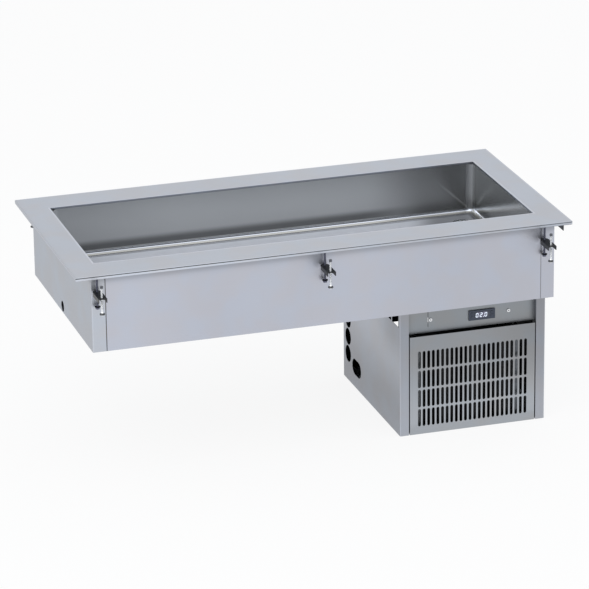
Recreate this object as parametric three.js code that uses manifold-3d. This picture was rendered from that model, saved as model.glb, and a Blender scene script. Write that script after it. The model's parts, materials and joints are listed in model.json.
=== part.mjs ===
// Drop-in refrigerated food well: a stainless basin with a flat rim that hangs in a worktop cut-out,
// and a refrigeration housing under its right end.
// Millimetres, +Z up, +X along the length, +Y to the back. The origin is the centre of the rim's seat.

import * as THREE from 'three';
import { mergeVertices } from 'three/addons/utils/BufferGeometryUtils.js';
import Module from 'manifold-3d';

const wasm = await Module();
wasm.setup();

// Clearances and drawing fineness
const gap = 0.3;
const overrun = 2;
const weldDistance = 0.001;
const smallSides = 12;
const roundSides = 24;
const hexSides = 6;
const holeSides = 8;
const domeSteps = 4;
const longHoleArcSteps = 7;

// Rim
const rimLength = 1470;
const rimWidth = 720;
const rimGauge = 1.5;
const lipHeight = 10;
const hemWidth = 14;
const rimTurnDown = 4;
const rimEndMargin = 80;
const rimSideMargin = 105;

// Tub
const tubDepth = 160;
const tubGauge = 1.2;
const tubCornerRadius = 25;
const tubCoveRadius = 16;
const tubFlangeWidth = 16;
const tubCornerSteps = 5;
const tubCoveSteps = 6;
const floorFall = 3;

// Drain
const drainFromOpeningEnd = 63;
const drainFromOpeningBack = 79;
const drainFlatRadius = 31;
const drainHoleRadius = 25;
const drainFlangeRadius = 35;
const drainFlangeHeight = 2;
const drainTailRadius = 16.5;
const drainBoreRadius = 13;
const drainCupRadius = 24;
const drainCupDepth = 8;
const drainCupWall = 3;
const drainTailBelowCasing = 24;
const strainerRimRadius = 28;
const strainerRimHeight = 2;
const strainerCupRadius = 23;
const strainerCupHeight = 5;
const strainerHoleRadius = 3;
const strainerHoleCircle = 14;
const strainerHoleCount = 8;
const valveRadius = 22;
const valveBelowCasing = 4;
const valveHeight = 76;
const valveStemRadius = 7;
const valveStemLength = 7;
const valveStemHeightShare = 0.4;
const leverLength = 92;
const leverWidth = 16;
const leverGauge = 3;
const leverHubRadius = 11;
const leverHubHeight = 6;

// Casing round the tub
const sheetGauge = 1.2;
const casingEndInset = 48;
const casingSideInset = 18;
const casingDepth = 222;
const endReturnWidth = 40;
const seamGap = 0.8;
const panelFlangeWidth = 12;
const trayLipHeight = 15;
const cableHoleRadius = 16;
const cableHoleY = 4;
const cableHoleFromBottom = 18.5;
const cablePocketDepth = 30;

// Insulation and evaporator tube
const endCavity = 14;
const sideCavity = 27;
const coilTubeRadius = 5;
const coilTurns = 4;
const coilPitch = 28;
const coilBottomBelowSeat = 128;
const coilOutset = 11;
const coilSides = 6;
const coilBendRadius = 10;
const coilBendSteps = 3;
const riserSpacing = 35;
const riserFromHousingEnd = 74;
const passageMargin = 12;

// Housing of the refrigeration unit
const housingWidth = 445;
const housingHeight = 388;
const housingEndInset = 13;
const housingFrontInset = 34;
const housingBackInset = 127;
const housingReturn = 27;
const housingBackReturn = 15;
const housingTopFlange = 15;
const sideHoleRadius = 26;
const sideHolePitch = 55;
const sideHoleCount = 3;
const sideHoleFromBack = 43;
const sideHoleLowest = 85;
const slotHoleLength = 84;
const slotHoleHeight = 50;
const slotHoleFromBack = 123;
const slotHoleFromBottom = 65;
const windowFromFront = 12;
const windowLength = 58;
const windowStrut = 9;
const smallWindowLength = 22;
const windowDepth = 55;
const windowTopBand = 8;
const baseLipHeight = 20;
const backOpeningFromSide = 55;
const backOpeningFromBottom = 28;
const backOpeningHeight = 129;

// Control panel, thermostat and its keys
const controlRecess = 18;
const controlPanelHeight = 83;
const controlSlotWidth = 1.5;
const controlSlotFromSide = 91;
const controlSlotHeight = 66;
const bezelLength = 80;
const bezelHeight = 30;
const bezelProud = 4;
const bezelFromSide = 216;
const bezelFromBottom = 326.5;
const thermostatLength = 71;
const thermostatHeight = 26;
const thermostatDepth = 56;
const displayLength = 44;
const displayHeight = 17;
const displayThickness = 2;
const displayProud = 0.5;
const keySize = 7;
const keyThickness = 3;
const keyProud = 1;
const keyFromBezelEdge = 9.5;
const keyRowSpacing = 11;
const keyPocketDepth = 6;
const screwHeadRadius = 5;
const screwHeadHeight = 2.4;
const screwRadius = 2;
const screwLength = 9;
const screwFromBottom = 343.5;
const firstScrewFromSide = 99;
const secondScrewFromSide = 338.5;

// Slotted grille panel
const grilleGap = 3.2;
const grilleHeight = 302;
const slotWidth = 8.8;
const slotBridge = 4.5;
const slotColumnPitch = 14.2;
const slotColumns = 24;
const slotRows = 4;
const slotArcSteps = 3;
const slotsFromBottom = 23.5;
const slotsFromTop = 45;

// Condenser, fan and compressor
const condenserFromSide = 62;
const condenserWidth = 298;
const condenserHeight = 288;
const condenserThickness = 48;
const condenserBehindGrille = 18;
const condenserPlateGauge = 1.5;
const condenserPlateProud = 4;
const finCount = 24;
const finShare = 0.4;
const finGrooveDepth = 12;
const shroudDepth = 34;
const shroudGauge = 1.2;
const fanHoleRadius = 112;
const fanRadius = 106;
const fanHubRadius = 24;
const fanHubHeight = 16;
const fanBladeCount = 5;
const fanBladeGauge = 1.6;
const fanBladeChord = 50;
const fanBladePitch = 0.5;
const fanBehindCondenser = 8;
const motorRadius = 38;
const motorLength = 50;
const motorShaftRadius = 4;
const motorArmWidth = 14;
const motorArmGauge = 3;
const motorArmReach = 124;
const compressorFromRight = 172;
const compressorFromBack = 155;
const compressorRadius = 80;
const compressorHeight = 180;
const compressorDome = 42;
const compressorSeam = 4;
const compressorFootLength = 206;
const compressorFootWidth = 120;
const compressorFootGauge = 3;
const grommetRadius = 9;
const grommetHeight = 12;
const relayLength = 35;
const relayWidth = 56;
const relayHeight = 70;
const relayFromBase = 70;
const dischargeRadius = 4;
const dischargeFromBase = 128;
const dischargeStub = 40;
const dischargeAboveCondenser = 20;
const suctionFromBase = 178;

// Cable gland in the back of the housing
const glandFromSide = 32;
const glandFromBottom = 215;
const glandRadius = 11;
const glandThreadRadius = 8;
const glandFlange = 4.5;
const glandLength = 24;
const glandBoreRadius = 4.5;

// Clamps that pull the rim down on the worktop
const clampStandOff = 13;
const clampFromLeftCorner = 14;
const clampFromRightCorner = 35;
const clampMiddleShift = -10;
const boltRadius = 3;
const washerRadius = 8.5;
const washerHeight = 2.2;
const washerBelowSeat = 81;
const boltHeadRadius = 6.2;
const boltHeadHeight = 5.5;
const bracketWidth = 25;
const bracketReach = 51;
const bracketOverhang = 12;
const bracketGauge = 2;
const bracketHeight = 12;
const bracketBelowSeat = 38;
const bracketNutRadius = 6;
const bracketNutHeight = 5;
const padRadius = 4.5;
const padHeight = 6;
const padBelowSeat = 4;
const padSocketDepth = 3.5;
const thumbScrewRadius = 3;
const thumbScrewBelowSeat = 91;
const backScrewLowered = 8;
const thumbDiscRadius = 7.5;
const thumbDiscHeight = 3;
const thumbConeHeight = 6;
const thumbButtonRadius = 3.5;
const thumbButtonHeight = 3;

// Small black bracket under the right end of the rim
const endBracketOutset = 40;
const endBracketFromFront = 46;
const endBracketLength = 60;
const endBracketHeight = 33;
const endBracketFlange = 12;
const endBracketGauge = 1.5;

// Places worked out from the sizes
const rimHalfX = rimLength / 2;
const rimHalfY = rimWidth / 2;
const openHalfX = rimHalfX - rimEndMargin;
const openHalfY = rimHalfY - rimSideMargin;
const casingHalfX = rimHalfX - casingEndInset;
const casingHalfY = rimHalfY - casingSideInset;
const casingInsideX = casingHalfX - sheetGauge;
const casingInsideY = casingHalfY - sheetGauge;
const casingTop = lipHeight - rimGauge - gap;
const casingBottom = -casingDepth;
const tubTop = lipHeight - rimGauge - rimTurnDown - gap;
const tubFloor = lipHeight - tubDepth;
const drainX = openHalfX - drainFromOpeningEnd;
const drainY = openHalfY - drainFromOpeningBack;
const drainFloor = tubFloor - floorFall;
const trayFloorTop = casingBottom + gap + sheetGauge;
const foamTop = tubTop - tubGauge - gap;
const foamBottom = trayFloorTop + gap;
const foamCavityFloor = drainFloor - tubGauge - gap - drainFlangeHeight;

const housingRight = casingHalfX - housingEndInset;
const housingLeft = housingRight - housingWidth;
const housingFront = housingFrontInset - casingHalfY;
const housingBack = casingHalfY - housingBackInset;
const housingTop = casingBottom - gap;
const housingBottom = casingBottom - housingHeight;
const baseTop = housingBottom + sheetGauge;
const backPlateOuter = housingBack - sheetGauge - gap;
const backPlateInner = backPlateOuter - sheetGauge;
const controlFace = housingFront + controlRecess;
const controlBottom = casingBottom - controlPanelHeight;

const condenserLeft = housingLeft + condenserFromSide;
const condenserRight = condenserLeft + condenserWidth;
const condenserFront = housingFront + condenserBehindGrille;
const condenserBack = condenserFront + condenserThickness;
const condenserBottom = baseTop + gap;
const condenserTop = condenserBottom + condenserHeight;
const fanX = (condenserLeft + condenserRight) / 2;
const fanZ = (condenserBottom + condenserTop) / 2;
const shroudFront = condenserBack + condenserPlateProud + gap;
const shroudBack = shroudFront + shroudDepth;
const compressorX = housingRight - compressorFromRight;
const compressorY = housingBack - compressorFromBack;

const riserX = housingRight - riserFromHousingEnd;

// Finishes
const finish = (color, roughness, metalness) =>
  new THREE.MeshStandardMaterial({ color, roughness, metalness });
const brushedSteel = finish(0xb8bec8, 0.38, 0.9);
const tubSteel = finish(0x9a9da0, 0.25, 0.95);
const darkSteel = finish(0x4b4d54, 0.5, 0.8);
const blackSteel = finish(0x1c1e20, 0.55, 0.4);
const zincSteel = finish(0xd0d3d6, 0.3, 0.9);
const galvanised = finish(0x8f9598, 0.5, 0.7);
const foam = finish(0xd8c48a, 0.95, 0);
const copper = finish(0xb5703f, 0.35, 0.9);
const blackPlastic = finish(0x222326, 0.5, 0);
const bezelPlastic = finish(0x3f4a5c, 0.4, 0);
const displayGlass = finish(0x6d7a93, 0.15, 0);
const aluminiumFin = finish(0x6f7478, 0.45, 0.8);
const brass = finish(0xb59a55, 0.35, 0.9);
const blackPaint = finish(0x15171a, 0.35, 0.2);

const model = new THREE.Group();
const add = (name, geometry, material) => {
  const mesh = new THREE.Mesh(geometry, material);
  mesh.name = name;
  model.add(mesh);
};

// A closed geometry as a solid: shared vertices merged, flat triangles dropped, faces turned outwards
function solidOf(geometry) {
  const bare = geometry.index ? geometry.toNonIndexed() : geometry.clone();
  bare.deleteAttribute('normal');
  bare.deleteAttribute('uv');
  const merged = mergeVertices(bare, weldDistance);
  const place = merged.attributes.position;
  const corners = [];
  let volume = 0;
  const [a, b, c] = [new THREE.Vector3(), new THREE.Vector3(), new THREE.Vector3()];
  for (let i = 0; i < merged.index.count; i += 3) {
    const three = [0, 1, 2].map((k) => merged.index.getX(i + k));
    if (new Set(three).size < three.length) continue;
    corners.push(...three);
    a.fromBufferAttribute(place, three[0]);
    b.fromBufferAttribute(place, three[1]);
    c.fromBufferAttribute(place, three[2]);
    volume += a.dot(b.cross(c));
  }
  if (volume < 0) corners.reverse();
  const mesh = new wasm.Mesh({
    numProp: 3,
    vertProperties: new Float32Array(place.array),
    triVerts: new Uint32Array(corners),
  });
  return new wasm.Manifold(mesh);
}

// The solid's triangles as a geometry
function geometryOf(solid) {
  const mesh = solid.getMesh();
  const geometry = new THREE.BufferGeometry();
  geometry.setAttribute('position', new THREE.BufferAttribute(mesh.vertProperties, 3));
  geometry.setIndex(new THREE.BufferAttribute(mesh.triVerts, 1));
  geometry.computeVertexNormals();
  return geometry;
}

const join = (...solids) => solids.reduce((whole, piece) => whole.add(piece));
const cut = (solid, ...tools) => tools.reduce((left, tool) => left.subtract(tool), solid);

// A block between two corners
function block(x0, x1, y0, y1, z0, z1) {
  const geometry = new THREE.BoxGeometry(x1 - x0, y1 - y0, z1 - z0);
  geometry.translate((x0 + x1) / 2, (y0 + y1) / 2, (z0 + z1) / 2);
  return solidOf(geometry);
}

// The directions of a drawing plane: its two axes and the way it is pushed out
const planes = {
  x: [new THREE.Vector3(0, 1, 0), new THREE.Vector3(0, 0, 1), new THREE.Vector3(1, 0, 0)],
  y: [new THREE.Vector3(0, 0, 1), new THREE.Vector3(1, 0, 0), new THREE.Vector3(0, 1, 0)],
  z: [new THREE.Vector3(1, 0, 0), new THREE.Vector3(0, 1, 0), new THREE.Vector3(0, 0, 1)],
};

// Turns a geometry drawn in a plane, and pushed out from zero, to its axis and start
function stand(geometry, axis, start) {
  geometry.applyMatrix4(new THREE.Matrix4().makeBasis(...planes[axis]));
  return geometry.translate(...planes[axis][2].toArray().map((part) => part * start));
}

// An outline pushed out along an axis; its points are (y, z), (z, x) or (x, y) for x, y and z
function prism(axis, points, start, end, holes = []) {
  const shape = new THREE.Shape(points.map(([u, v]) => new THREE.Vector2(u, v)));
  shape.holes = holes.map((hole) => new THREE.Path(hole.map(([u, v]) => new THREE.Vector2(u, v))));
  const geometry = new THREE.ExtrudeGeometry(shape, { depth: end - start, bevelEnabled: false });
  return solidOf(stand(geometry, axis, start));
}

// The points of a circle, or of part of it, round a centre
function arc(u, v, radius, from, to, steps) {
  return Array.from({ length: steps + 1 }, (_, i) => {
    const angle = from + ((to - from) * i) / steps;
    return [u + radius * Math.cos(angle), v + radius * Math.sin(angle)];
  });
}
const circle = (u, v, radius, sides) => arc(u, v, radius, 0, Math.PI * 2, sides).slice(1);

// A round bar along an axis
const bar = (axis, u, v, radius, start, end, sides = smallSides) =>
  prism(axis, circle(u, v, radius, sides), start, end);

// A slot with round ends, long along the first or the second direction of its plane
function slotOutline(u, v, length, width, along, steps = slotArcSteps) {
  const radius = width / 2;
  const reach = length / 2 - radius;
  const right = Math.PI / 2;
  return along === 'first'
    ? [...arc(u + reach, v, radius, -right, right, steps),
      ...arc(u - reach, v, radius, right, right * 3, steps)]
    : [...arc(u, v + reach, radius, 0, Math.PI, steps),
      ...arc(u, v - reach, radius, Math.PI, Math.PI * 2, steps)];
}

// A profile of (radius, height) points turned about an upright axis at x, y
function turned(profile, sides, x = 0, y = 0) {
  const points = profile.map(([radius, height]) => new THREE.Vector2(radius, height));
  const geometry = new THREE.LatheGeometry(points, sides);
  geometry.rotateX(Math.PI / 2);
  return solidOf(geometry.translate(x, y, 0));
}

// Loops with equal numbers of points, joined in a ring: the last one meets the first
function ringOf(loops) {
  const count = loops[0].length;
  const index = [];
  loops.forEach((loop, i) => {
    const here = i * count;
    const next = ((i + 1) % loops.length) * count;
    for (let k = 0; k < count; k += 1) {
      const after = (k + 1) % count;
      index.push(here + k, next + k, next + after, here + k, next + after, here + after);
    }
  });
  const geometry = new THREE.BufferGeometry();
  geometry.setAttribute('position', new THREE.Float32BufferAttribute(loops.flat(2), 3));
  geometry.setIndex(index);
  return solidOf(geometry);
}

// A rectangle with rounded corners, as a loop at one height, anticlockwise from the +X +Y corner
function roundedLoop(halfX, halfY, radius, z, steps) {
  const quarter = Math.PI / 2;
  const corners = [[1, 1], [-1, 1], [-1, -1], [1, -1]];
  return corners.flatMap(([sx, sy], i) =>
    arc(sx * (halfX - radius), sy * (halfY - radius), radius, i * quarter, (i + 1) * quarter, steps)
      .map(([x, y]) => [x, y, z]));
}
const squareLoop = (halfX, halfY, z) =>
  [[1, 1], [-1, 1], [-1, -1], [1, -1]].map(([sx, sy]) => [sx * halfX, sy * halfY, z]);

// A circle with the same number of points as a rounded rectangle
function drainLoop(radius, z) {
  const count = 4 * (tubCornerSteps + 1);
  return Array.from({ length: count }, (_, i) => {
    const angle = ((i + 1 / 2) * Math.PI * 2) / count;
    return [drainX + radius * Math.cos(angle), drainY + radius * Math.sin(angle), z];
  });
}

// A path of straight runs with round bends
class RoutedPath extends THREE.Curve {
  constructor(corners, bend, steps) {
    super();
    this.places = RoutedPath.bent(corners.map((p) => new THREE.Vector3(...p)), bend, steps);
  }

  static bent(corners, bend, steps) {
    const places = [corners[0]];
    for (let i = 1; i < corners.length - 1; i += 1) {
      const here = corners[i];
      const back = corners[i - 1].clone().sub(here).normalize();
      const on = corners[i + 1].clone().sub(here).normalize();
      const half = back.angleTo(on) / 2;
      if (Math.PI / 2 - half < weldDistance) continue;
      const away = bend / Math.tan(half);
      const centre = back.clone().add(on).normalize().multiplyScalar(bend / Math.sin(half)).add(here);
      const start = here.clone().addScaledVector(back, away).sub(centre);
      const end = here.clone().addScaledVector(on, away).sub(centre);
      const turn = start.angleTo(end);
      const pole = start.clone().cross(end).normalize();
      for (let k = 0; k <= steps; k += 1) {
        places.push(start.clone().applyAxisAngle(pole, (turn * k) / steps).add(centre));
      }
    }
    places.push(corners[corners.length - 1]);
    return places;
  }

  getPointAt(share) {
    return this.places[Math.round(share * (this.places.length - 1))].clone();
  }

  getTangentAt(share) {
    const last = this.places.length - 1;
    const i = Math.round(share * last);
    const before = this.places[i].clone().sub(this.places[Math.max(i - 1, 0)]).normalize();
    const after = this.places[Math.min(i + 1, last)].clone().sub(this.places[i]).normalize();
    return before.add(after).normalize();
  }
}

// A round tube along a routed path
function tubeAlong(corners, radius, sides, bend, steps) {
  const path = new RoutedPath(corners, bend, steps);
  const section = new THREE.Shape(circle(0, 0, radius, sides).map(([u, v]) => new THREE.Vector2(u, v)));
  const geometry = new THREE.ExtrudeGeometry(section, {
    steps: path.places.length - 1,
    extrudePath: path,
    bevelEnabled: false,
  });
  return solidOf(geometry);
}

// Rim: a flat frame whose outer edge folds down and in, and whose inner edge turns down
function makeRim() {
  const plateUnder = lipHeight - rimGauge;
  const turnBottom = plateUnder - rimTurnDown;
  const inset = (distance, z) => squareLoop(rimHalfX - distance, rimHalfY - distance, z);
  const outset = (distance, z) => squareLoop(openHalfX + distance, openHalfY + distance, z);
  add('rim_frame', geometryOf(ringOf([
    inset(0, lipHeight),
    inset(0, 0),
    inset(hemWidth, 0),
    inset(hemWidth, rimGauge),
    inset(rimGauge, rimGauge),
    inset(rimGauge, plateUnder),
    outset(rimGauge, plateUnder),
    outset(rimGauge, turnBottom),
    outset(0, turnBottom),
    outset(0, lipHeight),
  ])), brushedSteel);
}

// Tub: flange, straight walls, coved foot and a floor that falls to the drain
function makeTub() {
  const wall = (outset, drop, radius, z) =>
    roundedLoop(openHalfX + outset - drop, openHalfY + outset - drop, radius, z, tubCornerSteps);
  const cove = (outset) => Array.from({ length: tubCoveSteps + 1 }, (_, i) => {
    const angle = (Math.PI / 2) * (i / tubCoveSteps);
    const radius = tubCoveRadius + outset;
    const drop = radius * (1 - Math.cos(angle));
    const corner = tubCornerRadius + outset - drop;
    return wall(outset, drop, corner, tubFloor + tubCoveRadius - radius * Math.sin(angle));
  });
  const flangeRadius = tubCornerRadius + tubFlangeWidth;
  add('well_tub', geometryOf(ringOf([
    wall(0, 0, tubCornerRadius, tubTop),
    ...cove(0),
    drainLoop(drainFlatRadius, drainFloor),
    drainLoop(drainHoleRadius, drainFloor),
    drainLoop(drainHoleRadius, drainFloor - tubGauge),
    drainLoop(drainFlatRadius, drainFloor - tubGauge),
    ...cove(tubGauge).reverse(),
    wall(tubGauge, 0, tubCornerRadius + tubGauge, tubTop - tubGauge),
    wall(tubFlangeWidth, 0, flangeRadius, tubTop - tubGauge),
    wall(tubFlangeWidth, 0, flangeRadius, tubTop),
  ])), tubSteel);
}

// Drain: strainer in the tub, outlet under it, and a ball valve with its lever below the casing
function makeDrain() {
  const seat = drainFloor + gap;
  const holes = Array.from({ length: strainerHoleCount }, (_, i) => {
    const angle = (Math.PI * 2 * i) / strainerHoleCount;
    const x = drainX + strainerHoleCircle * Math.cos(angle);
    const y = drainY + strainerHoleCircle * Math.sin(angle);
    return bar('z', x, y, strainerHoleRadius, seat - strainerCupHeight - overrun, seat + strainerCupHeight,
      holeSides);
  });
  const strainer = turned([
    [0, seat - strainerCupHeight],
    [strainerCupRadius, seat - strainerCupHeight],
    [strainerCupRadius, seat],
    [strainerRimRadius, seat],
    [strainerRimRadius, seat + strainerRimHeight],
    [0, seat + strainerRimHeight],
  ], roundSides, drainX, drainY);
  add('drain_strainer', geometryOf(cut(strainer, ...holes)), zincSteel);

  const outletTop = drainFloor - tubGauge - gap;
  const tailBottom = casingBottom - drainTailBelowCasing;
  const cupBottom = outletTop - drainCupDepth;
  add('drain_outlet', geometryOf(turned([
    [drainCupRadius, outletTop],
    [drainCupRadius, cupBottom],
    [drainBoreRadius, cupBottom],
    [drainBoreRadius, tailBottom],
    [drainTailRadius, tailBottom],
    [drainTailRadius, cupBottom - drainCupWall],
    [drainCupRadius + drainCupWall, cupBottom - drainCupWall],
    [drainCupRadius + drainCupWall, outletTop - drainFlangeHeight],
    [drainFlangeRadius, outletTop - drainFlangeHeight],
    [drainFlangeRadius, outletTop],
    [drainCupRadius, outletTop],
  ], roundSides, drainX, drainY)), zincSteel);

  const valveTop = casingBottom - valveBelowCasing;
  const valveBottom = valveTop - valveHeight;
  const stemZ = valveTop - valveHeight * (1 - valveStemHeightShare);
  const stemEnd = drainY - valveRadius - valveStemLength;
  const body = turned([
    [drainBoreRadius, valveBottom],
    [valveRadius, valveBottom],
    [valveRadius, valveTop],
    [drainTailRadius + gap, valveTop],
    [drainTailRadius + gap, tailBottom - gap],
    [drainBoreRadius, tailBottom - gap],
    [drainBoreRadius, valveBottom],
  ], roundSides, drainX, drainY);
  const stem = bar('y', stemZ, drainX, valveStemRadius, stemEnd, drainY - drainBoreRadius - overrun);
  add('drain_valve_body', geometryOf(join(body, stem)), brass);

  const leverBack = stemEnd - gap;
  const hub = bar('y', stemZ, drainX, leverHubRadius, leverBack - leverHubHeight, leverBack);
  const handle = prism('y', slotOutline(
    stemZ, drainX - (leverLength - leverWidth) / 2, leverLength, leverWidth, 'second',
  ), leverBack - leverGauge, leverBack);
  add('drain_valve_lever', geometryOf(join(hub, handle)), blackPaint);
}

// Casing: two end panels whose returns fold round the corners, front and back panels, and a bottom tray
function makeCasing() {
  const foldX = casingHalfX - endReturnWidth;
  const trayX = casingInsideX - gap;
  const trayY = casingInsideY - gap;
  const trayBottom = casingBottom + gap;
  const endOutline = (side) => [
    [side * foldX, -casingHalfY],
    [side * foldX, -casingInsideY],
    [side * casingInsideX, -casingInsideY],
    [side * casingInsideX, casingInsideY],
    [side * foldX, casingInsideY],
    [side * foldX, casingHalfY],
    [side * casingHalfX, casingHalfY],
    [side * casingHalfX, -casingHalfY],
  ];
  const cableHole = bar('x', cableHoleY, casingBottom + cableHoleFromBottom, cableHoleRadius,
    -casingHalfX - overrun, sheetGauge + overrun - trayX, roundSides);
  const leftEnd = prism('z', endOutline(-1), casingBottom, casingTop);
  add('left_end_panel', geometryOf(cut(leftEnd, cableHole)), brushedSteel);
  add('right_end_panel', geometryOf(prism('z', endOutline(1), casingBottom, casingTop)), brushedSteel);

  const panelX = foldX - seamGap;
  const longOutline = (side) => [
    [side * casingHalfY, casingBottom],
    [side * casingHalfY, casingTop],
    [side * (casingHalfY - panelFlangeWidth), casingTop],
    [side * (casingHalfY - panelFlangeWidth), casingTop - sheetGauge],
    [side * casingInsideY, casingTop - sheetGauge],
    [side * casingInsideY, casingBottom],
  ];
  add('front_panel', geometryOf(prism('x', longOutline(-1), -panelX, panelX)), brushedSteel);
  add('back_panel', geometryOf(prism('x', longOutline(1), -panelX, panelX)), brushedSteel);

  const tray = block(-trayX, trayX, -trayY, trayY, trayBottom, trayFloorTop + trayLipHeight);
  const hollow = block(sheetGauge - trayX, trayX - sheetGauge, sheetGauge - trayY, trayY - sheetGauge,
    trayFloorTop, trayFloorTop + trayLipHeight + overrun);
  const drainHole = bar('z', drainX, drainY, drainTailRadius + 2 * gap, trayBottom - overrun,
    trayFloorTop + overrun, roundSides);
  add('bottom_panel', geometryOf(cut(tray, hollow, drainHole, cableHole,
    pipePassage(trayBottom, trayFloorTop))), galvanised);
}

// The way down for the two pipes, through the insulation and the bottom panel
function pipePassage(from, to) {
  const coilY = -(openHalfY + tubGauge + gap + coilTubeRadius);
  return block(riserX - riserSpacing - passageMargin, riserX + passageMargin,
    coilY - coilOutset - passageMargin, coilY + passageMargin, from - overrun, to + overrun);
}

// Insulation: one foam shell between the tub and the casing
function makeInsulation() {
  const foamX = casingInsideX - 2 * gap - sheetGauge;
  const foamY = casingInsideY - 2 * gap - sheetGauge;
  const outer = block(-foamX, foamX, -foamY, foamY, foamBottom, foamTop);
  const cavity = roundedLoop(openHalfX + tubGauge + endCavity, openHalfY + tubGauge + sideCavity,
    tubCornerRadius + endCavity, 0, tubCornerSteps).map(([x, y]) => [x, y]);
  const hollow = prism('z', cavity, foamCavityFloor, foamTop + overrun);
  const drainHole = bar('z', drainX, drainY, drainFlangeRadius + overrun, foamBottom - overrun,
    foamCavityFloor + overrun, roundSides);
  const cablePocket = bar('x', cableHoleY, casingBottom + cableHoleFromBottom, cableHoleRadius,
    -foamX - overrun, cablePocketDepth - foamX, roundSides);
  add('insulation', geometryOf(cut(outer, hollow, drainHole, cablePocket,
    pipePassage(foamBottom, foamCavityFloor))), foam);
}

// Evaporator: one tube up from the compressor, round the tub and back down to the condenser
function makeEvaporator() {
  const clearance = tubGauge + gap + coilTubeRadius;
  const coilX = openHalfX + clearance;
  const coilY = openHalfY + clearance;
  const around = 4 * (coilX + coilY);
  const turnStart = -coilBottomBelowSeat;
  const corners = [[riserX, -coilY, turnStart]];
  let travelled = 0;
  const legs = [
    [-coilX, -coilY, riserX + coilX],
    [-coilX, coilY, 2 * coilY],
    [coilX, coilY, 2 * coilX],
    [coilX, -coilY, 2 * coilY],
    [riserX, -coilY, coilX - riserX],
  ];
  const rise = (length) => turnStart + (coilPitch * length) / around;
  for (let turn = 0; turn < coilTurns; turn += 1) {
    legs.forEach(([x, y, length], leg) => {
      travelled += length;
      const closing = leg === legs.length - 1;
      if (!closing || turn === coilTurns - 1) corners.push([x, y, rise(travelled)]);
    });
  }
  const topZ = rise(travelled);
  const outside = -coilY - coilOutset;
  const returnX = riserX - riserSpacing;
  const suctionZ = baseTop + suctionFromBase;
  const route = [
    [compressorX + compressorRadius + gap, compressorY, suctionZ],
    [riserX, compressorY, suctionZ],
    [riserX, -coilY, suctionZ],
    ...corners,
    [returnX, outside, topZ],
    [returnX, outside, condenserTop + gap],
  ];
  const straight = route.filter((place, i) => i === 0
    || new THREE.Vector3(...place).distanceTo(new THREE.Vector3(...route[i - 1])) > gap);
  add('evaporator_coil', geometryOf(tubeAlong(straight, coilTubeRadius, coilSides, coilBendRadius,
    coilBendSteps)), copper);
}

// Housing: two side panels with returns, a base tray and a back plate with the air outlet
function makeHousing() {
  const middle = (housingLeft + housingRight) / 2;
  const plan = [
    [housingLeft, housingFront],
    [housingLeft + housingReturn, housingFront],
    [housingLeft + housingReturn, controlFace - gap],
    [housingLeft + housingReturn - sheetGauge, controlFace - gap],
    [housingLeft + housingReturn - sheetGauge, housingFront + sheetGauge],
    [housingLeft + sheetGauge, housingFront + sheetGauge],
    [housingLeft + sheetGauge, housingBack - sheetGauge],
    [housingLeft + housingBackReturn, housingBack - sheetGauge],
    [housingLeft + housingBackReturn, housingBack],
    [housingLeft, housingBack],
  ];
  const holeStart = housingLeft - overrun;
  const holeEnd = housingLeft + sheetGauge + overrun;
  const roundHoles = Array.from({ length: sideHoleCount }, (_, i) => bar('x', housingBack - sideHoleFromBack,
    housingBottom + sideHoleLowest + i * sideHolePitch, sideHoleRadius, holeStart, holeEnd, roundSides));
  const longHole = prism('x', slotOutline(housingBack - slotHoleFromBack, housingBottom + slotHoleFromBottom,
    slotHoleLength, slotHoleHeight, 'first', longHoleArcSteps), holeStart, holeEnd);
  const windowBottom = casingBottom - windowDepth;
  const windowTop = housingTop - windowTopBand;
  const windowEnd = housingFront + windowFromFront + windowLength;
  const bigWindow = block(holeStart, holeEnd, housingFront + windowFromFront, windowEnd, windowBottom, windowTop);
  const smallWindow = block(holeStart, holeEnd, windowEnd + windowStrut,
    windowEnd + windowStrut + smallWindowLength, windowBottom, windowTop);
  const topFlange = block(housingLeft, housingLeft + housingTopFlange, windowEnd, housingBack - housingBackReturn,
    housingTop - sheetGauge, housingTop);
  const wall = join(prism('z', plan, housingBottom, housingTop), topFlange);
  const leftSide = cut(wall, ...roundHoles, longHole, bigWindow, smallWindow);
  add('housing_left_side', geometryOf(leftSide), brushedSteel);
  const mirrored = geometryOf(leftSide).translate(-middle, 0, 0).scale(-1, 1, 1).translate(middle, 0, 0);
  add('housing_right_side', geometryOf(solidOf(mirrored)), brushedSteel);

  const insideLeft = housingLeft + sheetGauge + gap;
  const insideRight = housingRight - sheetGauge - gap;
  const baseFront = controlFace;
  const baseBack = backPlateInner - gap;
  const base = block(insideLeft, insideRight, baseFront, baseBack, housingBottom, baseTop + baseLipHeight);
  const hollow = block(insideLeft + sheetGauge, insideRight - sheetGauge, baseFront - overrun,
    baseBack - sheetGauge, baseTop, baseTop + baseLipHeight + overrun);
  add('housing_base', geometryOf(cut(base, hollow)), galvanised);

  const outletBottom = housingBottom + backOpeningFromBottom;
  const back = block(insideLeft, insideRight, backPlateInner, backPlateOuter, housingBottom + gap, housingTop - gap);
  const outlet = block(housingLeft + backOpeningFromSide, housingRight - backOpeningFromSide,
    backPlateInner - overrun, backPlateOuter + overrun, outletBottom, outletBottom + backOpeningHeight);
  const glandHole = bar('y', housingBottom + glandFromBottom, housingLeft + glandFromSide,
    glandThreadRadius + gap, backPlateInner - overrun, backPlateOuter + overrun, roundSides);
  add('housing_back', geometryOf(cut(back, outlet, glandHole)), brushedSteel);
}

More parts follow.
